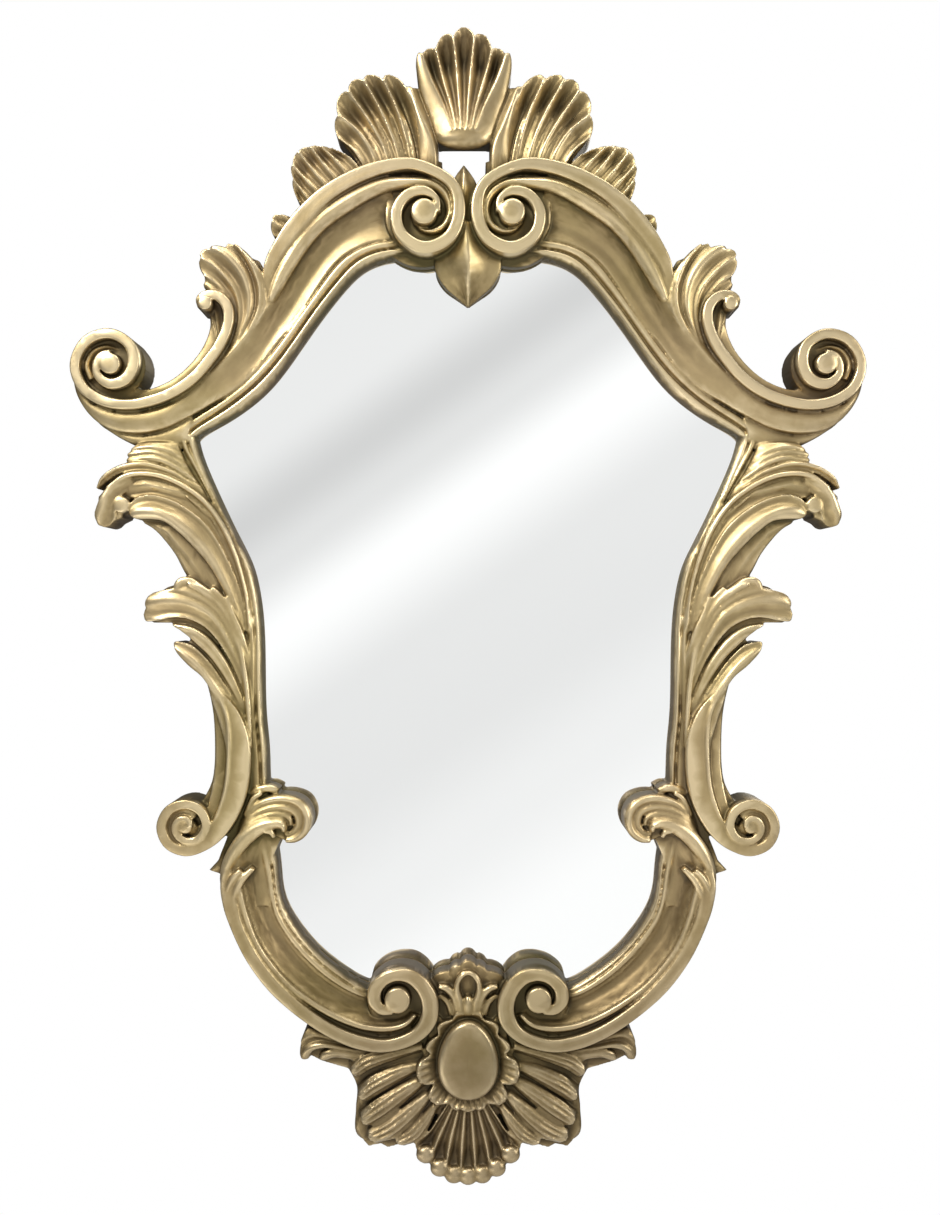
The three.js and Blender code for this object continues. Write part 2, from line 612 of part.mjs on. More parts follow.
// Cartouche: a small shell over a plain domed oval, set in a rippled frill
function cartouche() {
  const shell = fan([
    [[-14, -384, 38], [-20, -372, 38], [-26, -358, 38]],
    [[-8, -384, 40], [-9, -365, 38], [-10, -350, 38]],
    [[8, -384, 40], [9, -365, 38], [10, -350, 38]],
    [[14, -384, 38], [20, -372, 38], [26, -358, 38]],
  ], { steps: 2, perLobe: 3, swell: -6, tips: [4, 8, 4], rim: 0 });
  const seat = carve([0, -427, 0]);
  const dome = boss(0, hangLine, 30, 47, 6, 16);
  dome.scale(1, 1, 1.28);
  const points = dome.attributes.position;
  for (let i = 0; i < points.count; i++) {
    points.setX(i, points.getX(i) * (1 - 0.0035 * points.getZ(i) / share));
  }
  dome.translate(seat.x, 0, seat.z);
  const ground = boss(0, -408, 42, 30, 1, 20);
  const frill = fan([
    [[-12, -405, 36], [-22, -394, 40], [-27, -386, 40]],
    [[-20, -416, 36], [-32, -413, 40], [-39, -411, 40]],
    [[-22, -432, 36], [-35, -432, 40], [-43, -432, 40]],
    [[-20, -449, 36], [-31, -454, 40], [-37, -456, 40]],
    [[-12, -462, 36], [-22, -470, 40], [-28, -475, 40]],
  ], { steps: 1, perLobe: 2, swell: 3, tips: 3, rim: 0 });
  return [shell, dome, ground, ...bothSides([frill])];
}

// Bottom shell: flutes that fan down under the cartouche to a scalloped rim, with leaves at its sides
function bottomShell() {
  const count = 7;
  const ridges = [];
  for (let i = 0; i <= count; i++) {
    const turn = (i / count - 0.5) * 2;
    const lean = Math.abs(turn);
    const rimDrop = 541 - 30 * lean ** 2.6;
    ridges.push([
      [16 * turn, -462, 40],
      [30 * turn, -490 + 6 * lean, 37],
      [41 * turn, -517 + 12 * lean, 35],
      [49 * turn, -rimDrop, 38],
    ]);
  }
  return fan(ridges, { steps: 3, perLobe: 3, swell: -4, tips: 7, rim: 2 });
}

function bottomWing() {
  const leaf = fan([
    [[-70, -412, 32], [-100, -410, 33], [-128, -405, 33], [-150, -399, 33]],
    [[-62, -418, 33], [-92, -420, 35], [-122, -421, 36], [-156, -424, 35]],
    [[-56, -424, 32], [-78, -432, 34], [-98, -438, 35], [-115, -440, 34]],
  ], { steps: 3, perLobe: 2, swell: 3, tips: [5, 4], rim: 0 });
  const lobes = fan([
    [[-40, -424, 34], [-66, -440, 35], [-92, -450, 36], [-104, -452, 36]],
    [[-38, -432, 34], [-62, -452, 35], [-86, -466, 36], [-102, -473, 36]],
    [[-36, -440, 34], [-58, -464, 35], [-80, -488, 36], [-100, -508, 38]],
    [[-33, -448, 34], [-50, -470, 35], [-68, -494, 36], [-83, -511, 38]],
    [[-28, -456, 34], [-40, -476, 35], [-54, -498, 36], [-66, -512, 37]],
    [[-20, -462, 34], [-30, -480, 34], [-42, -498, 34], [-50, -504, 34]],
  ], { steps: 3, perLobe: 2, swell: 4, tips: [4, 8, 5, 4, 3], rim: 0 });
  return [leaf, lobes];
}

// Centre ground: the wood behind the volutes at the top and behind the cartouche at the bottom
function centreGround() {
  return [
    loft([
      [[-44, 338, 24], [0, 330, 26], [44, 338, 24]],
      [[-40, 400, 30], [0, 398, 32], [40, 400, 30]],
    ], 2),
    loft([
      [[-78, -396, 32], [0, -366, 34], [78, -396, 32]],
      [[-62, -436, 32], [0, -472, 34], [62, -436, 32]],
    ], 2),
  ];
}

// Glass outline: the sight line carried across behind the volutes, then moved out by a given amount
function glassOutline(grow) {
  const half = [[0, 322], [-30, 329], ...glassLine.slice(1, -2), [-66, -358], [-30, -354], [0, -354]];
  const left = new THREE.CatmullRomCurve3(half.map(([x, z]) => carve([x, z, 0])), false, 'centripetal');
  const line = left.getPoints(half.length - 1);
  const right = line.slice(1, -1).reverse().map((point) => new THREE.Vector3(-point.x, 0, point.z));
  const loop = [...line, ...right];
  return loop.map((point, i) => {
    const before = loop[(i + loop.length - 1) % loop.length];
    const after = loop[(i + 1) % loop.length];
    const run = after.clone().sub(before).normalize();
    return new THREE.Vector2(point.x + run.z * grow, point.z - run.x * grow);
  });
}

function plate(outline, back, front, holes = []) {
  const shape = new THREE.Shape(outline);
  shape.holes = holes.map((hole) => new THREE.Path(hole));
  const geometry = new THREE.ExtrudeGeometry(shape, { depth: front - back, bevelEnabled: false });
  geometry.rotateX(Math.PI / 2);
  geometry.translate(0, -back, 0);
  return geometry;
}

// Rebate, cut from the back for the glass and the board
const glassFront = rebateDepth - fitGap;
const glassBack = glassFront - glassThickness;
const boardFront = glassBack - fitGap;
const boardBack = boardFront - boardThickness;

// Hanger: a flush keyhole plate with its pocket in the wood, and two screws.
// A wall screw's shank rests on the slot's round top, and its head goes in at the round hole below it.
const slotTop = -keyholeSlotWidth;
const headHole = slotTop - keyholeTravel;
const keyholeTop = slotTop + keyholeSlotWidth / 2;
const keyholeFoot = headHole - keyholeHeadWidth / 2;
const hangerEdge = hangerLength / 2;
const hangerCentre = (keyholeTop + keyholeFoot) / 2;

function circlePoints(x, z, width, from, to, count) {
  const points = [];
  for (let i = 0; i <= count; i++) {
    const angle = THREE.MathUtils.degToRad(from + (to - from) * i / count);
    points.push(new THREE.Vector2(x + width / 2 * Math.cos(angle), z + width / 2 * Math.sin(angle)));
  }
  return points;
}

function keyhole() {
  const mouth = THREE.MathUtils.radToDeg(Math.asin(keyholeSlotWidth / keyholeHeadWidth));
  return [
    ...circlePoints(0, slotTop, keyholeSlotWidth, 0, 180, 4),
    ...circlePoints(0, headHole, keyholeHeadWidth, 90 + mouth, 450 - mouth, 8),
  ];
}

function rectangle(width, low, high) {
  return [
    new THREE.Vector2(-width / 2, low),
    new THREE.Vector2(width / 2, low),
    new THREE.Vector2(width / 2, high),
    new THREE.Vector2(-width / 2, high),
  ];
}

const screwLow = hangerCentre - hangerEdge + screwInset;
const screwHigh = hangerCentre + hangerEdge - screwInset;

function screw(z, gap) {
  const head = screwHeadWidth / 2 + gap;
  const shank = screwShankWidth / 2 + gap;
  const sink = (screwHeadWidth - screwShankWidth) / 2;
  const profile = [
    new THREE.Vector2(0, -screwLength - gap),
    new THREE.Vector2(shank, shank - screwLength),
    new THREE.Vector2(shank, -sink),
    new THREE.Vector2(head, gap),
    new THREE.Vector2(0, gap),
  ];
  const geometry = new THREE.LatheGeometry(profile, 8);
  geometry.translate(0, 0, z);
  return geometry;
}

// Nodes
function carvedFrame() {
  const halves = [
    archBand(), ...topVolute(), shoulder(), sightEdge(), hornBand(), ...hornGround(), upperLeaf(),
    sideGround(), ...upperSideLeaves(), ...lowerSideLeaves(), ...stemScroll(), ...commaScroll(),
    lowerBand(), lowerCove(), ...footVolute(), ...bottomWing(),
  ];
  const whole = join([
    ...bothSides(halves),
    ...bothSides(crestWing(), crestCentre),
    ...crestShell(),
    ...centreDrop(),
    ...centreGround(),
    ...cartouche(),
    bottomShell(),
  ]);
  const behind = new THREE.BoxGeometry(frameHeight, 2 * sawDepth, 2 * frameHeight);
  behind.translate(0, sawDepth, 0);
  const rebate = toSolid(plate(glassOutline(glassLap), -sawDepth, rebateDepth));
  const pocket = plate(
    rectangle(
      keyholeHeadWidth + 2 * pocketMargin,
      keyholeFoot - pocketMargin,
      keyholeTop + pocketMargin,
    ),
    -sawDepth,
    hangerThickness + fitGap + pocketRoom,
  );
  const seat = plate(
    rectangle(
      hangerWidth + 2 * fitGap,
      hangerCentre - hangerEdge - fitGap,
      hangerCentre + hangerEdge + fitGap,
    ),
    -sawDepth,
    hangerThickness + fitGap,
  );
  return whole
    .subtract(toSolid(behind))
    .subtract(rebate)
    .subtract(toSolid(seat))
    .subtract(toSolid(pocket))
    .subtract(toSolid(screw(screwLow, fitGap)))
    .subtract(toSolid(screw(screwHigh, fitGap)));
}

function hangerPlate() {
  const outline = rectangle(hangerWidth, hangerCentre - hangerEdge, hangerCentre + hangerEdge);
  return toSolid(plate(outline, 0, hangerThickness, [keyhole()]))
    .subtract(toSolid(screw(screwLow, fitGap)))
    .subtract(toSolid(screw(screwHigh, fitGap)));
}

const wallMirror = new THREE.Group();

function add(name, geometry, material) {
  const mesh = new THREE.Mesh(geometry, material);
  mesh.name = name;
  wallMirror.add(mesh);
}

add('carved_frame', toGeometry(carvedFrame()), giltPaint);
add('mirror_glass', plate(glassOutline(glassLap - glassClearance), glassBack, glassFront), silveredGlass);
add('backing_board', plate(glassOutline(glassLap - boardClearance), boardBack, boardFront), fibreBoard);
add('hanger_plate', toGeometry(hangerPlate()), zincSteel);
add('hanger_screw_top', screw(screwHigh, 0), screwSteel);
add('hanger_screw_bottom', screw(screwLow, 0), screwSteel);

export default wallMirror;
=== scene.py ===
# Carved wall mirror: scrolls, leaves and shells in champagne gold paint round a shaped glass.
# The carving is laid out in millimetres from the middle of the frame: x across, z up, rise out from the wall.
import bpy
import math
import numpy as np
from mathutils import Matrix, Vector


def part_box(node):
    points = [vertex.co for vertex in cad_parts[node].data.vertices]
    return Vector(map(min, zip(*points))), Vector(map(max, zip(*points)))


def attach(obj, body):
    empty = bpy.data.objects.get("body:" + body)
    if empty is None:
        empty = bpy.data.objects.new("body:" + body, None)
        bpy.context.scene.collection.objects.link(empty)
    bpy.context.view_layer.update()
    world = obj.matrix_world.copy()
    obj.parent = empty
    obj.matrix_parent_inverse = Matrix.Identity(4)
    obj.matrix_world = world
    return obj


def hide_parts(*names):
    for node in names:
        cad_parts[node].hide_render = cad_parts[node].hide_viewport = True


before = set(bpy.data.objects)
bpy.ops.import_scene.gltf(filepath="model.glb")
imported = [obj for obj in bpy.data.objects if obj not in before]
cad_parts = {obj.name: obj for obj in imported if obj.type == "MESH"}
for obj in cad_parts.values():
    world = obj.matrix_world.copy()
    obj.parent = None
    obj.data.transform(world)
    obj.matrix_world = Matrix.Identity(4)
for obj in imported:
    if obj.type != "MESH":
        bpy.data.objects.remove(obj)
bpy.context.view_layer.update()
scene = bpy.context.scene
bpy.ops.object.select_all(action="DESELECT")
print("frame loaded")


# Camera, at the photo's place in front of the middle of the frame
camera = {"place": (0.0018, -1.140, -0.3745), "lens": 34.5, "sensor": 36.0}
bpy.ops.object.camera_add(location=camera["place"], rotation=(math.pi / 2, 0, 0))
cameraObject = bpy.context.object
cameraObject.data.sensor_fit = "VERTICAL"
cameraObject.data.sensor_height = camera["sensor"]
cameraObject.data.lens = camera["lens"]
scene.camera = cameraObject


# Lines and places
bench = {"hangLine": 375.0, "mm": 0.001, "foot": 0.0, "merge": 0.00002}


def smoothLine(points, steps, even=True):
    # a smooth line through the points, sampled by its length, or by its points where rows have to pair up
    knots = np.asarray(points, float)
    if len(knots) == 2:
        knots = np.array([knots[0], (knots[0] + knots[1]) / 2, knots[1]])
    ends = [2 * knots[0] - knots[1], *knots, 2 * knots[-1] - knots[-2]]
    dense = []
    fine = 12
    for a, b, c, d in zip(ends[:-3], ends[1:-2], ends[2:-1], ends[3:]):
        gaps = [max(np.linalg.norm(q[:2] - p[:2]), 1e-3) ** 0.5 for p, q in ((a, b), (b, c), (c, d))]
        t1, t2, t3 = gaps[0], gaps[0] + gaps[1], sum(gaps)
        t = np.linspace(t1, t2, fine, endpoint=False)[:, None]
        ab = a + (b - a) * t / t1
        bc = b + (c - b) * (t - t1) / (t2 - t1)
        cd = c + (d - c) * (t - t2) / (t3 - t2)
        left = ab + (bc - ab) * t / t2
        right = bc + (cd - bc) * (t - t1) / (t3 - t1)
        dense.append(left + (right - left) * (t - t1) / (t2 - t1))
    line = np.vstack([*dense, knots[-1:]])
    if even:
        run = np.concatenate([[0], np.cumsum(np.linalg.norm(np.diff(line[:, :2], axis=0), axis=1))])
    else:
        run = np.arange(len(line), dtype=float)
    at = np.linspace(0, run[-1], steps + 1)
    return np.stack([np.interp(at, run, line[:, k]) for k in range(line.shape[1])], axis=1)


def relax(line, passes):
    # takes the wobble out of a traced line, with its ends held
    for _ in range(passes):
        line[1:-1] = (line[:-2] + 2 * line[1:-1] + line[2:]) / 4
    return line


def coil(centre, fromAngle, turn, radii, *rest):
    # points round a centre, one each turn, with rise and half width after them
    points = []
    for i, radius in enumerate(radii):
        angle = math.radians(fromAngle + i * turn)
        more = [value[i] if isinstance(value, (list, tuple)) else value for value in rest]
        points.append([centre[0] + radius * math.cos(angle), centre[1] + radius * math.sin(angle), *more])
    return points


def level(points, rise):
    return [[x, z, rise] for x, z in points]


def roll(start, end, low, high, count=9):
    # a rounded member of a section: (share across, rise)
    turns = np.linspace(0, math.pi, count)
    mid, half = (start + end) / 2, (end - start) / 2
    return [(mid - half * math.cos(a), low + (high - low) * math.sin(a) ** 0.8) for a in turns]


def hollow(start, end, first, last, dip, count=10):
    # a scooped member of a section
    shares = np.linspace(0, 1, count)
    return [(start + (end - start) * s, first + (last - first) * s - dip * math.sin(math.pi * s)) for s in shares]


carvings = []


def carveSheet(rows):
    # a closed body under a sheet of carved points: a grid is laid on them and extruded back to the wall
    rows = np.asarray(rows, float)
    count, along = rows.shape[:2]
    bpy.ops.mesh.primitive_grid_add(x_subdivisions=along - 1, y_subdivisions=count - 1, size=2)
    piece = bpy.context.object
    flat = np.empty(len(piece.data.vertices) * 3)
    piece.data.vertices.foreach_get("co", flat)
    flat = flat.reshape(-1, 3)
    column = np.rint((flat[:, 0] + 1) / 2 * (along - 1)).astype(int)
    row = np.rint((flat[:, 1] + 1) / 2 * (count - 1)).astype(int)
    carved = rows[row, column]
    place = np.stack([carved[:, 0], -carved[:, 2], carved[:, 1] - bench["hangLine"]], axis=1) * bench["mm"]
    piece.data.vertices.foreach_set("co", place.ravel())
    bpy.ops.object.mode_set(mode="EDIT")
    bpy.ops.mesh.select_all(action="SELECT")
    bpy.ops.mesh.extrude_region_move()
    bpy.ops.object.mode_set(mode="OBJECT")
    chosen = np.empty(len(piece.data.vertices), bool)
    piece.data.vertices.foreach_get("select", chosen)
    place = np.empty(len(chosen) * 3)
    piece.data.vertices.foreach_get("co", place)
    place = place.reshape(-1, 3)
    place[chosen, 1] = bench["foot"]
    piece.data.vertices.foreach_set("co", place.ravel())
    carvings.append(piece)
    return piece


def moulding(outer, inner, section, steps, even=True, endSection=None, change=(0.4, 0.8), passes=0):
    # a section of (share across, rise) run between two rails, that may turn into another along the way
    first = relax(smoothLine(outer, steps, even), passes)
    last = relax(smoothLine(inner, steps, even), passes)
    along = np.linspace(0, 1, steps + 1)
    part = np.clip((along - change[0]) / (change[1] - change[0]), 0, 1)
    part = part * part * (3 - 2 * part)
    rows = []
    for i, (across, rise) in enumerate(section):
        shareHere, riseHere = np.full(steps + 1, across), np.full(steps + 1, rise)
        if endSection:
            shareHere = across + (endSection[i][0] - across) * part
            riseHere = rise + (endSection[i][1] - rise) * part
        row = first[:, :3] + (last[:, :3] - first[:, :3]) * shareHere[:, None]
        row[:, 2] += riseHere
        rows.append(row)
    return carveSheet(rows)


roundSides = np.sin(np.linspace(-math.pi / 2, math.pi / 2, 9))
flatSides = np.array([-1, -0.97, -0.86, -0.5, 0, 0.5, 0.86, 0.97, 1])
flatDrops = np.array([-1.6, -0.7, 0, 0, 0, 0, 0, -0.7, -1.6])


def stroke(path, steps, crown=None):
    # one stroke along a path of [x, z, half width, rise]: rounded by its crown, or flat with soft edges
    line = smoothLine(path, steps)
    run = np.gradient(line[:, :2], axis=0)
    run /= np.maximum(np.linalg.norm(run, axis=1), 1e-9)[:, None]
    across = np.stack([-run[:, 1], run[:, 0]], axis=1)
    sides = flatSides if crown is None else roundSides
    drops = flatDrops if crown is None else -crown * sides**2
    rows = []
    for side, drop in zip(sides, drops):
        edge = line[:, :2] + across * (line[:, 2] * side)[:, None]
        rows.append(np.column_stack([edge, line[:, 3] + drop]))
    return carveSheet(rows)


def fan(ridges, steps, swell, tips=0, rim=0.0, perLobe=9, fade=0.35):
    # lobes between ridges that run from root to rim: a positive swell makes round lobes, a negative one flutes
    lines = [smoothLine(ridge, steps) for ridge in ridges]
    along = np.linspace(0, 1, steps + 1)
    rows = []
    for lobe in range(len(lines) - 1):
        rise = swell[lobe] if isinstance(swell, (list, tuple)) else swell
        reach = tips[lobe] if isinstance(tips, (list, tuple)) else tips
        run = lines[lobe][-1, :2] + lines[lobe + 1][-1, :2] - lines[lobe][-3, :2] - lines[lobe + 1][-3, :2]
        run /= np.linalg.norm(run)
        growth = np.minimum(1, fade + along * 1.2)
        if rise < 0:  # a flute runs out to its raised rim
            edge = np.clip((along - 0.88) / 0.12, 0, 1)
            growth = growth * (0.72 + 0.5 * np.exp(-(((along - 0.8) / 0.13) ** 2)))
            growth = growth * (1 - edge**2) - edge**2 * rim / rise
        else:  # a lobe rolls over at its tip
            growth = growth * (1 - 0.55 * np.clip((along - 0.85) / 0.15, 0, 1) ** 2)
        for s in range(0 if lobe == 0 else 1, perLobe + 1):
            part = s / perLobe
            power = 2.3 - 1.4 * along if rise < 0 else 0.8
            arch = max(math.sin(math.pi * part), 0) ** power
            point = lines[lobe][:, :3] * (1 - part) + lines[lobe + 1][:, :3] * part
            bow = math.sin(math.pi * part) ** 0.6
            point[:, :2] += run * (reach * bow * along**5)[:, None]
            point[:, 2] += rise * arch * growth
            rows.append(point)
    return carveSheet(rows)


def disc(x, z, radius, rise, crown, drop=1.5, sides=48, squeeze=1.0):
    # a round boss: a cylinder whose face is inset, and domed by its crown
    mm = bench["mm"]
    bpy.ops.mesh.primitive_cylinder_add(
        vertices=sides, radius=radius * mm, depth=(rise - crown) * mm,
        location=(x * mm, -(rise - crown) * mm / 2, (z - bench["hangLine"]) * mm), rotation=(math.pi / 2, 0, 0))
    piece = bpy.context.object
    bpy.ops.object.transform_apply(location=True, rotation=True, scale=True)
    for polygon in piece.data.polygons:
        polygon.select = polygon.normal.y < -0.9
    bpy.ops.object.mode_set(mode="EDIT")
    bpy.ops.mesh.select_mode(type="FACE")
    for inset in (0.12, 0.2, 0.3):
        bpy.ops.mesh.inset(thickness=radius * mm * inset, depth=0)
    bpy.ops.object.mode_set(mode="OBJECT")
    place = np.empty(len(piece.data.vertices) * 3)
    piece.data.vertices.foreach_get("co", place)
    place = place.reshape(-1, 3)
    middle = np.array([x * mm, (z - bench["hangLine"]) * mm])
    away = np.linalg.norm(place[:, [0, 2]] - middle, axis=1) / (radius * mm)
    front = place[:, 1] < -1e-5
    place[front, 1] = -(rise - crown * away[front] ** 2 - drop * (away[front] > 0.99)) * mm
    place[:, 2] = middle[1] + (place[:, 2] - middle[1]) * squeeze
    piece.data.vertices.foreach_set("co", place.ravel())
    carvings.append(piece)
    return piece


def joinCarvings():
    bpy.ops.object.select_all(action="DESELECT")
    for piece in carvings:
        piece.select_set(True)
    bpy.context.view_layer.objects.active = carvings[-1]
    bpy.ops.object.join()
    carvings.clear()
    return bpy.context.object


def mirrorAcross(piece, centre=0.0):
    # the right half is a mirrored copy with a mesh of its own
    bpy.ops.object.select_all(action="DESELECT")
    piece.select_set(True)
    bpy.context.view_layer.objects.active = piece
    bpy.ops.object.duplicate()
    copy = bpy.context.object
    bpy.ops.transform.resize(value=(-1, 1, 1), center_override=(centre * bench["mm"], 0, 0))
    bpy.ops.object.transform_apply(location=True, rotation=True, scale=True)
    carvings.extend([piece, copy])


# Volute eyes of the left half
eyes = {"top": (-41, 373.5), "horn": (-337, 230), "stem": (-262, -206), "foot": (-66, -369)}

# Arch: a flat band that coils into the top volute, the roll beside it, and the cove that falls to the glass
arch = {"bandRise": 46, "rollCrown": 5}
bandSection = [(0, -1.4), (0.04, -0.5), (0.12, 0), (0.35, -0.25), (0.65, -0.25), (0.88, 0), (0.96, -0.5), (1, -1.4)]


def carveArch():
    outer = [
        [-191, 299, 40], [-193, 322, 43], [-183, 345, 45], [-165, 371, 46], [-140, 395, 46],
        [-111, 412, 46], [-80, 422, 46], [-50, 423.5, 46],
        *coil(eyes["top"], 45, -45, [42, 38.5, 39.5, 40, 36.5, 32, 27.5, 24, 19, 15], arch["bandRise"]),
    ]
    inner = [
        [-189, 297, 40], [-184, 316, 42], [-172, 336, 44], [-153, 359, 45.5], [-130, 383, 46],
        [-105, 399, 46], [-76, 410, 46], [-50, 412.5, 46],
        *coil(eyes["top"], 45, -45, [31.5, 26.5, 27.5, 28, 25, 21, 17.5, 15, 13.6, 13.2], arch["bandRise"]),
    ]
    moulding(outer, inner, bandSection, 260, even=False)
    stroke([
        [-187, 292, 4, 41], [-181, 306, 6.5, 42.5], [-172, 324, 8, 43.5], [-158, 346, 8.5, 44], [-140, 366, 8.5, 44],
        [-120, 380.5, 8.5, 44], [-100, 392, 8, 44], [-80, 400, 7, 44], [-62, 402, 5.8, 44],
        *coil(eyes["top"], 78, -36, [28, 26.5, 24.3, 21.8, 18.5, 15.5, 13.5], [4.6, 4.2, 3.8, 3.3, 2.6, 1.8, 1],
              [43.5, 43, 42.5, 42, 41, 39, 36]),
    ], 170, crown=arch["rollCrown"])
    x, z = eyes["top"]
    disc(x, z, 38, 35, 0.5)
    disc(x - 3, z - 1, 45, 24, 0.5)
    disc(x - 0.5, z - 0.5, 12.2, 48, 0.9, drop=0.7)


shoulderRidge = [
    [-74, 402.5], [-86, 400], [-100, 393], [-120, 380], [-140, 366], [-158, 345], [-173, 320], [-184, 299],
    [-196, 279], [-212, 258], [-232, 236], [-259, 209], [-285, 192], [-319, 184.5], [-345, 188], [-360, 197],
    [-370, 210], [-374, 222],
]
shoulderCrease = [
    [-66, 352.5], [-80, 351.5], [-96, 348.5], [-111, 342], [-126, 331], [-141, 311], [-166, 273], [-182, 253.5],
    [-202, 226], [-222, 208], [-243, 195], [-263, 183], [-289, 170], [-317, 165.5], [-343, 171],
    [-360, 184], [-371, 202], [-375, 221],
]


def carveShoulder():
    archEnd = [(-0.22, 35), (-0.12, 38), (0, 40), *hollow(0.1, 1.0, 38.5, 29.5, 7, 12), (1.03, 27)]
    hornEnd = [(-0.2, 34), (-0.1, 36), (0.04, 37), *hollow(0.1, 0.97, 38.5, 36, -1.6, 12), (1.0, 33)]
    moulding(level(shoulderRidge, 0), level(shoulderCrease, 0), archEnd, 230, True, hornEnd, (0.3, 0.75))


# Sight edge: two fine beads between creases, and the bevel down to the glass
creaseLine = [
    [-58, 354], [-76, 352], [-96, 348.5], [-118, 338], [-134, 321], [-153, 292], [-177, 260], [-199, 230],
    [-222, 208], [-247, 192], [-272, 177], [-278, 167], [-275, 156], [-263, 138], [-247, 108], [-232, 75],
    [-222, 50], [-214, 28], [-210.5, 0], [-210.5, -50], [-210.5, -105], [-208, -136], [-208, -172],
    [-206, -210], [-196, -245], [-192, -265], [-188, -290], [-176, -312], [-160, -333], [-140, -352],
    [-118, -366], [-98, -374], [-70, -378],
]
filletLine = [
    [-56, 345], [-73, 342.5], [-91, 340], [-110, 330], [-127, 310], [-146.5, 286], [-168, 254], [-190.5, 225],
    [-214, 203], [-239, 185], [-263, 170], [-268.5, 162.5], [-266, 152], [-256, 131], [-241, 96], [-227, 70],
    [-214, 40], [-208, 14], [-203.5, -11], [-202.5, -50], [-202.5, -105], [-198.5, -130], [-197, -169],
    [-195, -210], [-186, -245], [-184.5, -270], [-179, -292], [-166, -311], [-148, -332], [-128.5, -348],
    [-111, -360], [-96, -368], [-70, -372],
]
glassLine = [
    [-55, 337], [-69.7, 337.2], [-86, 333], [-102.5, 325], [-119, 308.5], [-140.4, 281.4], [-162, 251],
    [-186.5, 215], [-209, 194.8], [-233.7, 178.4], [-254, 169], [-260.4, 164], [-258, 152.7], [-251, 132],
    [-239, 106.6], [-223.5, 71.8], [-208, 45], [-201.5, 18.5], [-198, -9], [-196.3, -50], [-195.8, -105],
    [-191.7, -134], [-192, -168], [-188, -210], [-181.4, -240], [-180.5, -270], [-174, -290], [-160, -312],
    [-143.5, -331.6], [-126, -345.4], [-109, -357], [-94, -364], [-70, -368],
]


sightEdge = {"perSpan": 8, "corner": 11, "calm": 26}


def carveSightEdge():
    beads = [
        (-0.06, 29.5), (0.07, 26.2), (0.15, 26.2), (0.26, 30.4), (0.36, 31.3), (0.7, 31.3), (0.79, 30.4),
        (0.89, 26.6), (1.0, 26.4),
    ]
    bevel = [
        (0, 26.4), (0.07, 26.6), (0.15, 29.3), (0.24, 30), (0.52, 30), (0.6, 29), (0.67, 26), (0.85, 19), (1, 12.2),
    ]
    # the rails meet in a mitre at the corner under the horn
    corner = sightEdge["corner"]
    for part in (slice(0, corner + 1), slice(corner, None)):
        creaseShade, fillet, sight = creaseLine[part], filletLine[part], glassLine[part]
        steps = (len(creaseShade) - 1) * sightEdge["perSpan"]
        calm = sightEdge["calm"]
        moulding(level(creaseShade, 0), level(fillet, 0), beads, steps, even=False, passes=calm)
        moulding(level(fillet, 0), level(sight, 0), bevel, steps, even=False, passes=calm)


# Horn: a long curl from over the upper leaf, out under the horn and round into its eye
def carveHorn():
    halves = [4.6, 4.8, 4.8, 5, 5.4, 5.4, 4.8, 3.8, 2.8, 2, 1.4]
    rises = [45.5, 46, 46, 46, 46, 46, 46, 46, 46, 46, 46]
    stroke([
        [-252, 283, 3, 43], [-253, 291, 3.5, 44.5], [-246, 295.5, 4, 45], [-236, 294, 4.5, 45], [-228, 286, 5, 45],
        [-225.5, 275, 5, 45], [-228, 262, 5, 45], [-235, 247, 5, 45], [-245, 233, 5, 45], [-256, 220, 5, 45],
        [-268.6, 209.5, 5, 45], [-284, 200.8, 5, 45], [-301, 195, 5, 45], [-319, 191.8, 4.8, 45],
        [-336, 193, 4.8, 45], [-351, 198.5, 4.8, 45], [-364, 209, 4.8, 45.5],
        *coil(eyes["horn"], 180, -45, [33.5, 31, 28.5, 25.5, 22, 20.5, 19, 16, 13.5, 12.5, 12], halves, rises),
    ], 300)
    disc(-247.5, 287, 6.6, 46.8, 0.7, drop=0.6, sides=24)
    stroke([
        [-240, 287, 8, 32], [-236, 268, 10, 32], [-243, 244, 11, 32], [-262, 220, 11, 32], [-285, 204, 11, 32],
        [-312, 198, 10, 32], [-334, 204, 12, 33], [-346, 216, 14, 33],
    ], 60, crown=1.5)
    x, z = eyes["horn"]
    disc(x + 1, z, 29.5, 35, 0.5)
    disc(x, z, 9.8, 47.6, 0.8, drop=0.7, sides=32)
    # the roll inside the curl, and the underside with its lip
    stroke(coil(eyes["horn"], 215, -36, [24, 24, 22, 18.5, 16], [3.2, 3, 2.4, 1.6, 0.8], [40, 40, 39, 38, 36]),
           50, crown=3)
    moulding(level([[-352, 176], [-334, 168], [-312, 165], [-289, 171], [-262, 186]], 0),
             level([[-346, 171], [-330, 161], [-314, 154], [-292, 152], [-268, 158]], 0),
             [(0, 29), *roll(0.05, 0.95, 29, 32.5, 6), (1, 29)], 40)


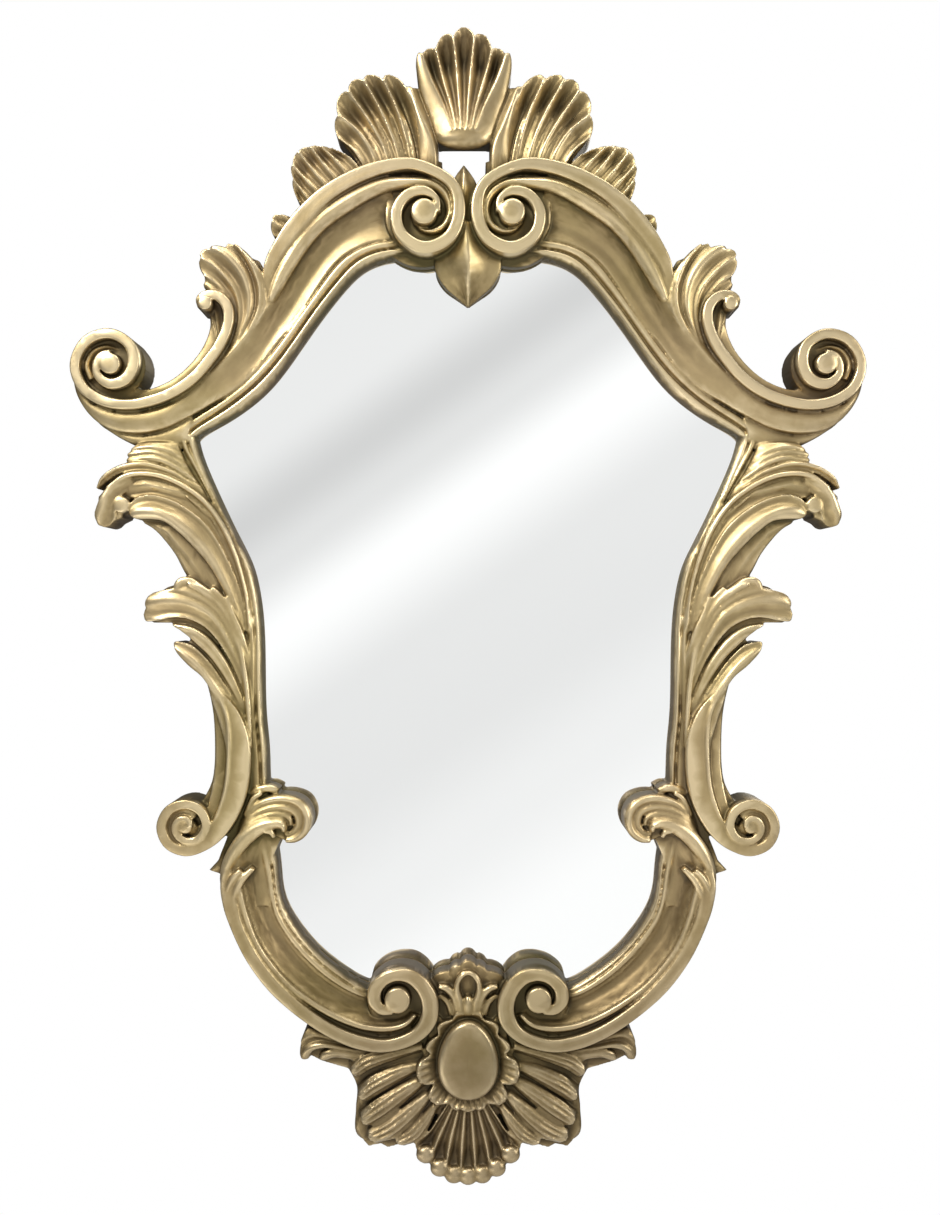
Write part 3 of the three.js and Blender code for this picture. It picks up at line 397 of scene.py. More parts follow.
# Upper leaf: a ribbed leaf between the arch and the horn, whose two lobes curl over to the left
def carveUpperLeaf():
    fan([
        [[-231, 236, 34], [-224.5, 254, 36], [-222, 272, 37], [-223.5, 288, 38], [-231, 300, 39],
         [-239.5, 308, 40], [-248.5, 313, 40]],
        [[-229.5, 238, 36], [-219.5, 262, 38.5], [-216.5, 281, 39.5], [-220, 299, 40.5], [-230.5, 314, 41.5],
         [-242, 325, 42.5], [-251.5, 330, 42]],
        [[-227, 239, 36], [-215, 261, 39], [-209, 282, 40], [-210.5, 300.5, 41], [-218, 317, 42],
         [-230, 330, 43], [-242, 338.5, 43]],
        [[-225, 240, 36], [-212, 264, 38], [-204, 285, 39], [-204.5, 303.5, 40], [-210.5, 320, 41],
         [-219.5, 332, 41.5], [-229.5, 340.5, 41.5]],
    ], 52, [-3.2, -3.4, 2.0], tips=[5, 6, 4], rim=1.6, fade=0.2)
    fan([
        [[-225, 240, 36], [-211.5, 264, 37], [-203.5, 285, 38], [-204, 303.5, 39], [-209, 320, 40],
         [-218, 332.5, 41], [-227.5, 341, 41.5]],
        [[-223, 241, 36], [-207, 265.5, 39], [-199.5, 284.5, 40], [-199, 303.5, 41], [-204, 319, 42],
         [-211.5, 332.5, 42.5], [-220, 342, 42.5]],
        [[-221.5, 242.5, 35], [-203, 267, 38.5], [-195, 284, 39.5], [-194, 300.5, 40.5], [-198, 316, 41.5],
         [-204, 328, 42], [-212, 338, 42]],
        [[-219.5, 244, 34], [-199.5, 267, 37], [-190.5, 284, 38], [-190, 299, 38.5], [-193.5, 315.5, 39],
         [-199, 325, 39]],
    ], 52, [-2.6, 2.2, 2.2], tips=[4, 4, 3], rim=1.2, fade=0.3)
    fan([  # the small lobe behind the curl
        [[-232, 262, 33], [-234, 284, 34.5], [-242, 297, 35.5], [-250, 303, 35]],
        [[-229, 264, 34], [-229.5, 288, 36], [-238, 303, 37], [-248, 309.5, 36.5]],
        [[-225, 266, 34], [-225, 290, 36], [-233, 306, 37], [-244, 313, 36.5]],
    ], 26, 1.8, tips=2)


# Side leaves, from the horn down to the stem
def carveSideLeaves():
    moulding(level([[-259, 140], [-244, 108], [-230, 75], [-219, 48], [-211, 26], [-208, 0], [-208, -60],
                    [-208, -120]], 0),
             level([[-296, 142], [-280, 108], [-250, 72], [-238, 42], [-232, 12], [-226, -20], [-222, -62],
                    [-222, -120]], 0),
             [(0, 28), (0.5, 28.5), (1, 27)], 60)
    fan([  # small top lobes under the horn
        [[-277, 158, 31], [-284, 158, 33], [-297, 158, 34], [-310, 157, 33.5]],
        [[-273, 148, 32], [-280, 150.5, 35], [-290, 154, 36.5], [-302, 155.5, 37], [-316, 153.5, 35.5]],
        [[-269, 139, 32], [-276, 142, 35.5], [-287, 147, 37.5], [-301, 150, 38], [-319, 148.5, 36.5]],
        [[-263, 128, 32], [-272, 133, 36], [-284, 140.5, 38], [-299, 145, 38.5], [-321, 143, 37]],
        [[-257, 119, 32], [-266, 124, 36], [-279, 132, 38], [-297, 138.5, 39], [-320, 137, 37]],
    ], 44, [1.6, 2.2, 2.2, 2.6], tips=[2, 2, 3, 3])
    fan([  # the long arched lobe that ends in a point at the left
        [[-255, 117, 32], [-266, 122, 35.5], [-281, 131, 39], [-306.6, 138.5, 40.5], [-331, 134.5, 40.5],
         [-347, 124, 39.5], [-352, 114.6, 37]],
        [[-251, 110, 32], [-263, 117, 36.5], [-281, 128, 40], [-306.6, 135, 42], [-331, 131, 42],
         [-345, 122, 40], [-351.5, 114, 37]],
        [[-247, 103, 32], [-260, 112, 36], [-281, 124.5, 39], [-306.6, 130.5, 40.5], [-330, 127, 40.5],
         [-343, 119, 38.5], [-350, 113, 36.5]],
    ], 60, [1.8, -1.8], tips=1)
    fan([  # the broad cove between the arched lobe and the round one
        [[-208, -20, 31], [-214, 25, 34], [-229, 70, 37.5], [-248, 99, 39], [-271, 117, 40.5],
         [-296.5, 127, 42], [-322, 125.5, 43], [-342, 112, 42.5], [-350, 97, 41]],
        [[-212, -18, 31], [-220.5, 20, 33], [-232, 51, 35], [-248, 78.5, 36], [-274, 99, 37],
         [-299, 107.7, 37.5], [-316, 104, 37], [-326, 108, 36], [-336, 100, 36]],
    ], 80, [-4.2], tips=0, rim=0, perLobe=14)
    stroke([  # its bright edge
        [-208, -20, 1.2, 33], [-213, 22, 1.6, 36], [-228, 68, 2, 39.5], [-247, 98, 2.2, 41], [-270, 116, 2.4, 42.5],
        [-296, 126, 2.4, 44], [-322, 125, 2.4, 45], [-340, 113, 2.2, 44.5],
    ], 90, crown=1.6)
    fan([  # ridge that carries the curl down to its tip
        [[-318, 124, 41], [-334, 119, 43], [-345, 108, 43.5], [-350, 97, 43], [-353, 88, 41], [-351, 80, 38]],
        [[-318, 118, 39], [-329, 113, 42], [-338, 103, 43], [-341, 94, 43], [-345, 86, 41], [-347, 78, 38]],
        [[-320, 112, 36], [-326, 108, 39], [-331, 101, 41], [-333, 92, 41.5], [-334, 84, 40], [-338, 79, 38]],
    ], 40, [1.8, -2.2], tips=[1, 2])
    disc(-327.5, 97.5, 7.6, 42.5, 0.8, drop=0.6, sides=28)
    fan([  # the round lobe: its top ridge, full middle and undercut lower edge
        [[-209, -24, 31], [-218, 20, 34], [-231, 52, 37], [-247, 78, 38.5], [-273, 98.5, 40], [-299, 107, 41],
         [-314, 104, 41], [-321, 97, 40]],
        [[-212, -22, 32], [-223, 16, 35], [-239, 50, 38], [-258, 74, 40], [-280, 90, 42], [-300, 96, 43],
         [-314, 94, 42], [-320, 91, 40]],
        [[-217, -20, 32], [-230, 12, 35], [-246, 41, 37.5], [-260, 58, 39], [-274, 72, 40.5], [-288, 82, 41],
         [-301, 84, 41], [-313, 84, 40]],
    ], 80, [-2.8, 3.0], tips=[1, 2], rim=0.5)
    moulding(level([[-216, -10], [-232, 12], [-248, 40.5], [-261, 58], [-274, 72], [-286, 82], [-300, 85]], 0),
             level([[-240, 10], [-262, 22], [-270, 34], [-279, 51], [-290, 65.6], [-299, 75], [-309, 81]], 0),
             [*hollow(0, 0.85, 33, 34, 1.2, 8), (0.95, 33), (1, 31)], 50)
    stroke([[-230, 10, 2.6, 38], [-224, -6, 3, 38], [-217, -22, 3, 37], [-211, -42, 2.4, 34],
            [-209, -66, 1.5, 31]], 30, crown=1)
    stroke([[-244, 18, 3.4, 38.5], [-236, 11, 3.4, 38.5], [-227, -4, 3.4, 38], [-219, -24, 3, 37],
            [-213, -48, 2.5, 35], [-210, -74, 1.5, 32]], 34, crown=1.4)


def carveLowerLeaves():
    fan([  # the top lobe, with narrow ribs at its back and a small curl over it
        [[-210, -60, 31], [-218, -26, 35], [-232, 4, 38], [-247, 19, 39], [-258, 25.5, 39.5], [-266, 27, 39]],
        [[-210, -66, 32], [-221, -28, 36], [-236, 0, 39], [-252, 14, 40], [-262, 19.5, 40.5], [-270, 21, 40]],
        [[-210, -72, 32], [-224, -31, 36], [-240, -3, 39], [-257, 8.5, 40], [-272, 13.5, 41], [-284, 15, 40.5],
         [-298, 14.5, 39]],
        [[-210, -80, 33], [-226, -38, 37], [-244, -10, 40], [-262, 0, 41.5], [-278, 3, 42], [-292, 2, 41.5],
         [-304, 0.5, 40]],
        [[-211, -86, 33], [-228, -46, 37], [-248, -19, 39.5], [-266, -10, 41], [-280, -9, 41.5],
         [-292, -11.5, 41], [-304, -13, 39.5]],
    ], 60, [1.6, 1.6, 2.4, -2.4], tips=[1, 1, 4, 3], rim=1)
    stroke([[-252, 17, 4, 40], [-262, 24, 4.4, 41], [-271, 25, 4, 42], [-275, 19.5, 3.4, 42],
            [-272, 15, 2.6, 41]], 30, crown=1.5)
    stroke([[-242, 8, 1.5, 41], [-256, 19, 1.8, 42.5], [-264, 22.5, 1.5, 43]], 16, crown=0.8)
    fan([  # the middle lobe
        [[-212, -90, 32], [-229, -50, 36], [-248, -26, 38], [-264, -17, 39], [-280, -15, 38.5]],
        [[-212, -96, 33], [-230, -58, 37], [-246, -36, 39], [-260, -25, 39.5], [-273, -20.5, 38.5]],
        [[-213, -102, 32], [-230, -68, 36], [-245, -46, 38], [-256, -35, 38.5], [-263, -28, 37.5]],
    ], 46, [1.8, 1.6], tips=[2, 2])
    fan([  # the low pointed lobe
        [[-213, -106, 32], [-230, -74, 36], [-246, -50, 38.5], [-262, -35, 40], [-276, -31.5, 39.5]],
        [[-214, -114, 33], [-229, -86, 37.5], [-244, -63, 40], [-258, -48, 41], [-270, -40, 40.5], [-278, -36, 39]],
        [[-216, -124, 33], [-230, -100, 37], [-242, -80, 39], [-252, -65, 39.5], [-263, -56, 39], [-272, -47, 38.5]],
    ], 50, [-2.4, 2.4], tips=[2, 2], rim=0.8)
    stroke([[-206.5, -132, 1.5, 36], [-208.5, -100, 2.2, 36], [-211, -70, 2.4, 36.5], [-216, -42, 2.4, 37],
            [-225, -16, 2, 38]], 40, crown=0.8)


# Stem: a cove and a flat band that swing into the volute over the lower scroll
def carveStem():
    moulding([[-251, -64, 31], [-247, -78, 31], [-244, -92, 31], [-242, -108, 31], [-241.5, -147, 31],
              [-244, -165, 31], [-250, -178, 31], [-256, -186, 31]],
             [[-249, -62, 36], [-241, -78, 38], [-233, -92, 39], [-227.5, -108, 39.5], [-227, -147, 40],
              [-230, -171, 41], [-236, -192, 42], [-243, -208, 42]],
             [(0, 0), (0.06, 1.4), *hollow(0.12, 0.86, 0.8, -1.6, 2.6, 8), (0.95, -0.2), (1, 0)], 70, even=False)
    stroke([
        [-243, -72, 4, 37.5], [-236, -86, 7, 38.5], [-226, -104, 10.5, 39], [-218.5, -128, 11.5, 39.5],
        [-217.5, -155, 11, 40],
        [-221, -178, 10.5, 41.5], [-229, -198, 9.6, 43], [-240, -214, 8.2, 44], [-252, -224, 6.2, 45],
        *coil((-266, -206), 270, -45, [22.8, 22.8, 22.6, 22, 21.4, 20.8, 19.4, 16.4, 13.2, 11, 10, 9.2, 8.2,
                                       6.6, 4.6],
              [5, 4.8, 4.8, 4.6, 4.5, 4.4, 4.1, 3.7, 3.4, 3.2, 3, 2.8, 2.6, 2.4, 2],
              [45.6, 46, 46.4, 46.5, 46.5, 46.5, 46.4, 46.2, 46.2, 46.4, 46.8, 47, 47.2, 47.4, 47.4]),
    ], 260)
    stroke([[-246, -66, 1.6, 38.5], [-239, -80, 1.9, 40], [-231, -94, 2, 41], [-226.6, -112, 2, 41.5],
            [-226.6, -147, 2, 42],
            [-229, -171, 2, 43], [-235, -191, 1.8, 44], [-243, -208, 1.4, 44.5]], 70, crown=1.4)
    x, z = eyes["stem"]
    disc(x - 3, z, 25, 36, 0.5)
    disc(x - 4, z, 6.4, 46.6, 0.6, drop=0.6, sides=28)
    moulding(level([[-205, -98], [-205, -150], [-206, -200], [-214, -240]], 0),
             level([[-221, -98], [-221, -150], [-224, -200], [-238, -240]], 0),
             [(0, 31), (1, 31)], 30)
    fan([
        [[-228, -228, 31], [-236, -238, 31], [-247, -250, 29]],
        [[-226, -238, 32], [-232, -246, 32], [-240, -252.5, 29]],
        [[-224, -246, 31], [-230, -251, 31], [-235, -254, 29]],
    ], 12, 1.5)


# Comma scroll: nested ribs that curl in over the glass
def carveComma():
    moulding(level([[-208, -168], [-190, -177], [-172, -177], [-156, -184], [-149, -199], [-153, -213]], 0),
             level([[-228, -252], [-204, -222], [-190, -216], [-180, -218], [-172, -222], [-163, -222]], 0),
             [(0, 30), (0.5, 33), (1, 33)], 40)
    disc(-215, -241, 12, 31, 0.5, sides=24)
    stroke([[-219, -226, 2.2, 35], [-212, -205, 3, 36.5], [-202, -189, 3.6, 37.5], [-187, -182, 3.8, 39],
            [-171, -181, 4, 40.5],
            [-158, -186.5, 4.2, 41.5], [-152.3, -198, 4.2, 41.5], [-155, -211, 4, 41],
            [-163.5, -218.5, 3.6, 40], [-173, -220.5, 2.4, 39]], 100, crown=3)
    stroke([[-224, -236, 2.2, 37], [-215, -213, 2.6, 38], [-205, -198.5, 2.8, 38.5], [-189, -190, 3, 39],
            [-173, -189.3, 3.2, 39.5],
            [-163, -195, 3.2, 39.5], [-161, -204, 3, 39], [-166, -212, 2.6, 38], [-174, -214.5, 1.8, 37]], 90,
            crown=2.4)
    stroke([[-226, -240, 1.6, 38], [-217, -217, 2, 39.5], [-206, -203, 2.2, 40], [-191, -196.5, 2.4, 40],
            [-177, -195.5, 2.4, 39.5],
            [-169, -199.5, 2.2, 39], [-168, -206, 1.8, 38]], 70, crown=2)
    stroke([[-231, -272, 3.5, 39], [-229.5, -250, 5.5, 41], [-221, -231, 7, 43], [-209, -216, 7.4, 44],
            [-195, -206.5, 6.6, 44.5],
            [-182, -203.5, 5, 44.5], [-174.5, -206.5, 3.4, 44], [-174.5, -212, 2, 42]], 100, crown=4)
    stroke([[-193, -211, 1.6, 43], [-186, -212, 2.2, 43], [-183.5, -217, 1.6, 41.5]], 14, crown=1)
    stroke([[-208, -177, 2.4, 33], [-198, -172.5, 3.4, 34.5], [-189, -171.5, 3.6, 35], [-181, -174.5, 3, 34]],
           24, crown=1.6)
    stroke([[-212, -197, 1.8, 36], [-204, -181, 2.2, 37], [-196, -175.5, 2, 37]], 20, crown=1)
    # the ground that falls from the curl into the cove, and two slim leaves that stand on it
    moulding(level([[-211, -212], [-218, -232], [-222, -254], [-218, -284]], 0),
             level([[-176, -214], [-184, -232], [-190, -252], [-189, -284]], 0),
             [(0, 38.5), *hollow(0.1, 1.0, 38.5, 30, 3.5, 8)], 30)
    stroke([[-228, -276, 1, 42], [-226, -264, 2.6, 44.5], [-221, -254, 3, 45.5], [-214.5, -247, 2, 45]], 36, crown=2)
    stroke([[-222.5, -290, 1, 42], [-220.5, -272, 3, 44.5], [-214, -257, 3.6, 45], [-203.5, -246, 2.4, 43]], 40,
           crown=2.2)


# Lower scroll: a flat band round the foot volute, with its roll, cove and sight edge
def carveLowerScroll():
    outer = [
        [-230, -244, 40], [-234, -260, 43], [-231, -281, 44.5], [-225.5, -297.5, 45], [-210, -330, 46],
        [-189, -359, 46], [-164, -382, 46], [-133, -403, 46], [-103, -415.5, 46], [-76, -418, 46],
        *coil(eyes["foot"], -62, 31, [44, 42, 37.5, 33.5, 31.5, 29, 28.7, 30, 28, 22, 15], 46),
    ]
    inner = [
        [-224, -246, 40], [-221, -262, 43], [-217, -280, 44.5], [-212, -298, 45], [-196, -329, 46],
        [-173, -357, 46], [-151, -376.5, 46], [-123, -394.5, 46], [-98, -403.5, 46], [-76, -406, 46],
        *coil(eyes["foot"], -62, 31, [31, 26, 21.5, 19, 18.3, 18, 17.6, 17.2, 15.5, 12.6, 11.5], 46),
    ]
    moulding(outer, inner, bandSection, 260, even=False)
    lowerRidge = [
        [-217, -262], [-210, -290], [-198, -320], [-184, -340], [-169, -356.5], [-150, -371], [-130, -383],
        [-112, -391], [-97, -395.5], [-76, -397], [-60, -393], [-50, -384],
    ]
    lowerCrease = [
        [-194, -248], [-191, -276], [-183, -298], [-169, -320], [-150, -342], [-134, -355], [-117, -366],
        [-100, -373], [-84, -377], [-74, -380], [-68, -381], [-62, -380],
    ]
    moulding(level(lowerRidge, 0), level(lowerCrease, 0),
             [(-0.32, 38), (-0.2, 38), *roll(-0.16, 0.14, 38.5, 43.5, 7),
              *hollow(0.2, 1.0, 38.5, 29.5, 5.5, 10)], 160)
    x, z = eyes["foot"]
    disc(x + 2, z - 2, 32, 35, 0.5)
    disc(x - 0.5, z, 12, 48, 0.9, drop=0.7, sides=36)


# Drop: a pointed leaf between the top volutes, and the small leaf above them
def carveDrop():
    fan([
        [[-22, 366, 27], [-31, 340, 27], [-31, 323, 26], [-23, 309, 23], [-11, 299, 18.5], [-1, 291, 14]],
        [[-2, 366, 41], [-1, 344, 41], [0, 330, 40], [0, 316, 36.5], [0, 304, 30], [0, 291.5, 17]],
        [[22, 366, 27], [31, 340, 27], [31, 323, 26], [23, 309, 23], [11, 299, 18.5], [1, 291, 14]],
    ], 40, -3.4, rim=0, perLobe=14)
    fan([
        [[-14, 360, 31], [-17, 385, 31], [-16, 404, 31], [-11, 413, 31.5], [-5, 421, 31]],
        [[-3, 360, 38], [-3.5, 385, 40], [-4, 404, 40.5], [-4, 414, 38], [-4, 421.5, 33]],
        [[10, 360, 31], [10, 385, 31], [8, 404, 31], [3, 413, 31.5], [-3, 421, 31]],
    ], 32, -1.6, perLobe=10)


# Crest: a shell over a swelling lip, with fluted and ribbed panels that step down along the arch
def carveCrestWing():
    fan([
        [[-25, 405, 30], [-25, 432, 31], [-31, 465, 31], [-45, 494, 31]],
        [[-31, 405, 34], [-32, 437, 38], [-43, 465, 37.5], [-53, 494, 34.5]],
        [[-46, 405, 33], [-47, 440, 33.5], [-52, 470, 34], [-58, 495, 34.5]],
    ], 36, [-1.2, 2.2], tips=[1, 1], rim=0)
    fan([
        [[-43, 405, 32], [-46, 438, 32.5], [-52, 470, 34], [-59, 495, 36]],
        [[-52, 405, 32], [-57, 440, 33], [-67, 473, 35], [-80, 500, 38]],
        [[-61, 405, 32], [-69, 440, 33], [-82, 471, 35], [-98.5, 499.5, 38]],
        [[-71, 405, 32], [-80, 438, 33], [-96, 466, 35], [-113, 489.5, 38]],
        [[-82, 405, 32], [-91, 433, 33], [-106, 455, 34.5], [-123, 467, 37]],
        [[-94, 402, 31], [-102, 424, 32], [-112, 438, 33], [-123, 446, 34.5]],
    ], 54, [-8.5, -9, -9, -8.5, -6], tips=[10, 8, 7.5, 8, 5], rim=2.6, fade=0.3, perLobe=12)
    fan([  # fine ribs between the flutes
        [[-47, 405, 31.5], [-51, 438, 32], [-57, 460, 31.5], [-63, 474, 29]],
        [[-49, 405, 31.5], [-54, 438, 32], [-60, 460, 31.5], [-66, 474, 29]],
    ], 24, 1.2)
    for low, mid, high in (((-57, 405), (-64, 438), (-74, 470)), ((-66, 405), (-74.5, 438), (-88, 467)),
                           ((-76.5, 405), (-85, 435), (-99, 459))):
        stroke([[*low, 1.7, 31], [*mid, 1.7, 31.2], [*high, 0.9, 28.5]], 24, crown=1)
    fan([
        [[-94, 402, 30], [-103, 419, 31], [-113, 430, 32], [-124, 436, 34]],
        [[-106, 398, 30], [-116, 414, 31.5], [-127, 427, 33], [-139, 438, 36]],
        [[-116, 393, 30], [-126, 409, 31.5], [-138, 423, 33], [-149, 437.5, 36]],
        [[-125, 387, 30], [-135, 402, 31.5], [-147, 416, 33], [-161, 433, 36]],
        [[-132, 381, 30], [-142, 395, 31.5], [-154, 407, 33], [-166.5, 420, 36]],
        [[-140, 375, 30], [-149, 386, 31], [-157, 396, 32], [-165.5, 407, 34.5]],
        [[-147, 367, 29], [-153, 375, 30], [-158, 383, 31], [-163.5, 391, 33]],
    ], 40, [-5.5, -5.8, -5.8, -5.8, -5.5, -4.5], tips=[3.5, 3, 3, 3, 4, 5], rim=2, fade=0.3, perLobe=10)
    fan([
        [[-154, 363, 29], [-161, 369, 31], [-168, 372, 33]],
        [[-159, 358, 30], [-168, 366, 32.5], [-177, 374, 34.5]],
        [[-164, 352, 30], [-175, 360, 32.5], [-186, 368, 34]],
        [[-169, 345, 29], [-177, 350, 31], [-185, 354, 32]],
    ], 20, [-2, -3, -2.4], tips=[2, 4, 3], rim=1)


def carveCrestShell():
    fan([
        [[-30, 447, 38], [-36, 466, 35.5], [-45, 490, 35], [-49, 509, 36]],
        [[-15, 449, 45], [-22, 472, 40], [-34, 499, 39], [-43, 523, 39.5]],
        [[-11.3, 450, 45.8], [-16, 474, 40.5], [-24.5, 504, 39.5], [-30.5, 528, 40]],
        [[-6.6, 450, 46], [-8.2, 476, 41], [-11, 512, 40], [-14, 540, 40.5]],
        [[-1.4, 450, 46], [0.2, 476, 41], [3, 512, 40], [6, 540, 40.5]],
        [[3.3, 450, 45.8], [8, 474, 40.5], [16.5, 504, 39.5], [22.5, 528, 40]],
        [[7, 449, 45], [14, 472, 40], [26, 499, 39], [35, 523, 39.5]],
        [[22, 447, 38], [28, 466, 35.5], [37, 490, 35], [41, 509, 36]],
    ], 64, [1.6, -10, -12, -12.5, -12, -10, 1.6], tips=[8, 5, 9, 10.5, 9, 5, 8], rim=2.6, perLobe=12, fade=0.15)
    # the lip under the flutes is a long smooth swelling
    mm = bench["mm"]
    bpy.ops.mesh.primitive_uv_sphere_add(
        segments=48, ring_count=28, radius=1, location=(-4 * mm, -32.5 * mm, (446.5 - bench["hangLine"]) * mm))
    lip = bpy.context.object
    bpy.ops.transform.resize(value=(27 * mm, 12.6 * mm, 13 * mm), center_override=lip.location)
    bpy.ops.object.transform_apply(location=True, rotation=True, scale=True)
    carvings.append(lip)


# Cartouche: a plain domed oval in a rippled frill, with a small shell over it
cartouche = {"z": -427.0, "halfWidth": 28.5, "halfHeight": 37.5, "taper": 0.13}


def eggPoint(angle, grow):
    # the egg is a little wider below its middle
    x = (cartouche["halfWidth"] + grow) * math.cos(angle)
    z = (cartouche["halfHeight"] + grow) * math.sin(angle)
    return x * (1 - cartouche["taper"] * math.sin(angle)), cartouche["z"] + z


def carveCartouche():
    turns = np.linspace(math.pi / 2, 5 * math.pi / 2, 121)
    rows = []
    for grow, rise in ((0, 36), (0, 41.5), (-0.8, 43.8), (-2.6, 45.6), (-6, 46.6), (-14, 47.1), (-22, 47.3),
                       (-28, 47.3)):
        rows.append([[*eggPoint(a, max(grow, -28)), rise] for a in turns])
    carveSheet(rows)
    frill = smoothLine([
        [90, 4.5], [80, 7], [70, 9], [60, 5.5], [50, 9], [40, 12.5], [31, 7], [22, 11.5], [13, 13.5], [6, 8],
        [-2, 17], [-14, 19.5], [-25, 16.5], [-31, 7.5], [-38, 15], [-48, 16.5], [-57, 13], [-63, 8], [-72, 11.5],
        [-82, 10], [-90, 12],
    ], 300)
    for side in (1, -1):
        rows = []
        for part, rise in ((0.0, 33), (0.1, 35.5), (0.3, 37), (0.6, 39), (0.85, 40.8), (1.0, 39.6)):
            row = []
            for degrees, reach in frill:
                angle = math.radians(degrees)
                pleat = math.sin(angle * 46) * 1.1 * min(1, part * 2.5) * min(1, max(0, 20 - degrees) / 20)
                curl = (reach - 10) * 0.28 * part
                x, z = eggPoint(angle, 0.5 + reach * part)
                row.append([side * x, z, rise + pleat + curl])
            rows.append(row)
        carveSheet(rows)
    disc(0, -408, 42, 29, 1)
    # small shell: a scalloped back, two flaring leaves with a bud between them, and the slots beside it
    fan([
        [[-22, -384, 30], [-30, -366, 31], [-34, -352, 31]],
        [[-12, -384, 31], [-15, -362, 33], [-18, -346, 33]],
        [[-4, -384, 32], [-7, -360, 34], [-8, -341, 34]],
        [[4, -384, 32], [7, -360, 34], [8, -341, 34]],
        [[12, -384, 31], [15, -362, 33], [18, -346, 33]],
        [[22, -384, 30], [30, -366, 31], [34, -352, 31]],
    ], 26, 1.0, tips=[2, 3, 6, 3, 2])
    for side in (1, -1):
        stroke([[side * 8, -387, 4, 38], [side * 10, -376, 4.4, 40], [side * 14, -366, 3.6, 41.5],
                [side * 21, -359.5, 3, 42],
                [side * 28, -358.5, 1.8, 41]], 30, crown=2.2)
        stroke([[side * 6, -386, 3, 39], [side * 7.5, -372, 3, 41.5], [side * 10.5, -361, 2.6, 42.5],
                [side * 9.5, -352.5, 2.4, 42.5],
                [side * 4.5, -346.5, 2.2, 42], [0, -344.8, 2, 41.5]], 36, crown=2)
        stroke([[side * 15, -386, 3, 37], [side * 19, -374, 3, 38], [side * 27, -367, 2, 38]], 20, crown=1.6)
    stroke([[0, -386, 4, 39], [0, -376, 4.6, 41.5], [0, -367, 2.6, 41]], 20, crown=2.4)


# Bottom shell and the leaves at its sides
def carveBottomShell():
    count = 7
    ridges = []
    for i in range(count + 1):
        turn = (i / count - 0.5) * 2
        lean = abs(turn)
        ridges.append([
            [15 * turn, -462, 40], [27 * turn, -486 + 5 * lean, 38.5], [40 * turn, -512 + 12 * lean, 37],
            [49.5 * turn, -536 + 31 * lean**2.4, 38],
        ])
    fan(ridges, 56, -7.5, tips=6, rim=2.0, fade=0.5, perLobe=12)
    for i in range(count):  # the puffed rim, one swelling to each flute and a crease between them
        turn = ((i + 0.5) / count - 0.5) * 2
        lean = abs(turn)
        disc(47 * turn, -539 + 30 * lean**2.4, 9.0, 41, 3.8, drop=1.0, sides=28, squeeze=0.9)


bottomLobes = [  # root, middle and tip of each rounded lobe, its half width and its rise
    ([-43, -416], [-72, -421], [-96, -428], [-109, -437], 9.2, 39),
    ([-42, -432], [-68, -442], [-89, -452.5], [-101.5, -461.5], 9.0, 39),
    ([-41, -446], [-64, -461], [-85, -475.5], [-98.5, -484.5], 9.8, 40),
    ([-37, -461], [-56, -479], [-76, -494], [-91, -501], 9.6, 40.5),
    ([-31, -472], [-42, -488], [-53, -499.5], [-65, -506], 8.0, 38.5),
]


def carveBottomWing():
    moulding(level([[-60, -400], [-100, -412], [-116, -430], [-106, -456], [-107, -476], [-106, -502],
                    [-88, -509], [-64, -508], [-48, -500]], 0),
             level([[-40, -410], [-46, -424], [-46, -432], [-44, -442], [-42, -450], [-40, -458], [-36, -464],
                    [-30, -468], [-26, -472]], 0),
             [(0, 30), (0.3, 32), (1, 33)], 60)
    fan([  # the small leaf that reaches out at the left, in three drooping tips
        [[-62, -414, 31], [-100, -411, 32], [-128, -404, 33.5], [-152, -398.5, 34.5]],
        [[-58, -416, 33], [-96, -415.5, 35.5], [-126, -410, 37], [-148, -405.5, 37], [-158.5, -413, 35.5]],
        [[-56, -418, 33], [-94, -419, 36], [-122, -414.5, 37.5], [-143, -412, 37.5], [-155, -418, 36.5],
         [-159, -426, 35]],
        [[-55, -420, 33], [-90, -422.5, 35], [-116, -419.5, 36], [-136, -417, 36], [-147, -420, 35],
         [-151, -427.5, 34]],
    ], 50, [1.4, -2.6, 2.4], tips=[2, 2, 2], rim=1)
    fan([
        [[-55, -420, 33], [-88, -423, 35.5], [-112, -420.5, 36.5], [-130, -418.5, 36.5], [-139, -422, 35.5],
         [-141.5, -428.5, 34]],
        [[-54, -422, 33], [-84, -427, 36], [-106, -426, 37], [-121, -424, 36.5], [-130, -427, 35]],
        [[-52, -424, 32], [-80, -431, 34.5], [-100, -431, 35], [-113, -428, 34], [-121, -426.5, 33]],
    ], 46, [2.2, 1.8], tips=[2, 2])
    for root, near, far, tip, half, rise in bottomLobes:
        line = np.array([root, near, far, tip], float)
        stroke([[*line[0], half * 0.5, rise - 6], [*line[1], half * 0.85, rise - 4], [*line[2], half, rise - 2],
                [*line[3], half * 0.8, rise - 3]], 44, crown=2.4)
        run = (line[3] - line[0]) / np.linalg.norm(line[3] - line[0])
        up = np.array([run[1], -run[0]]) * half
        ridges = []
        for side, lift in ((-1.0, -2.2), (-0.45, 1.2), (0.1, 1.8), (0.6, 0.6), (1.0, -2.4)):
            ridges.append([
                [*(line[0] + up * side * 0.45), rise - 3 + lift], [*(line[1] + up * side * 0.85), rise - 0.5 + lift],
                [*(line[2] + up * side), rise + 1.6 + lift],
                [*(line[3] + up * side * 0.84 - run * side**2 * half * 0.45), rise + 0.8 + lift],
            ])
        fan(ridges, 44, [-1.8, -2.6, -2.6, -1.8], tips=half * 0.3, rim=1.2, perLobe=8)


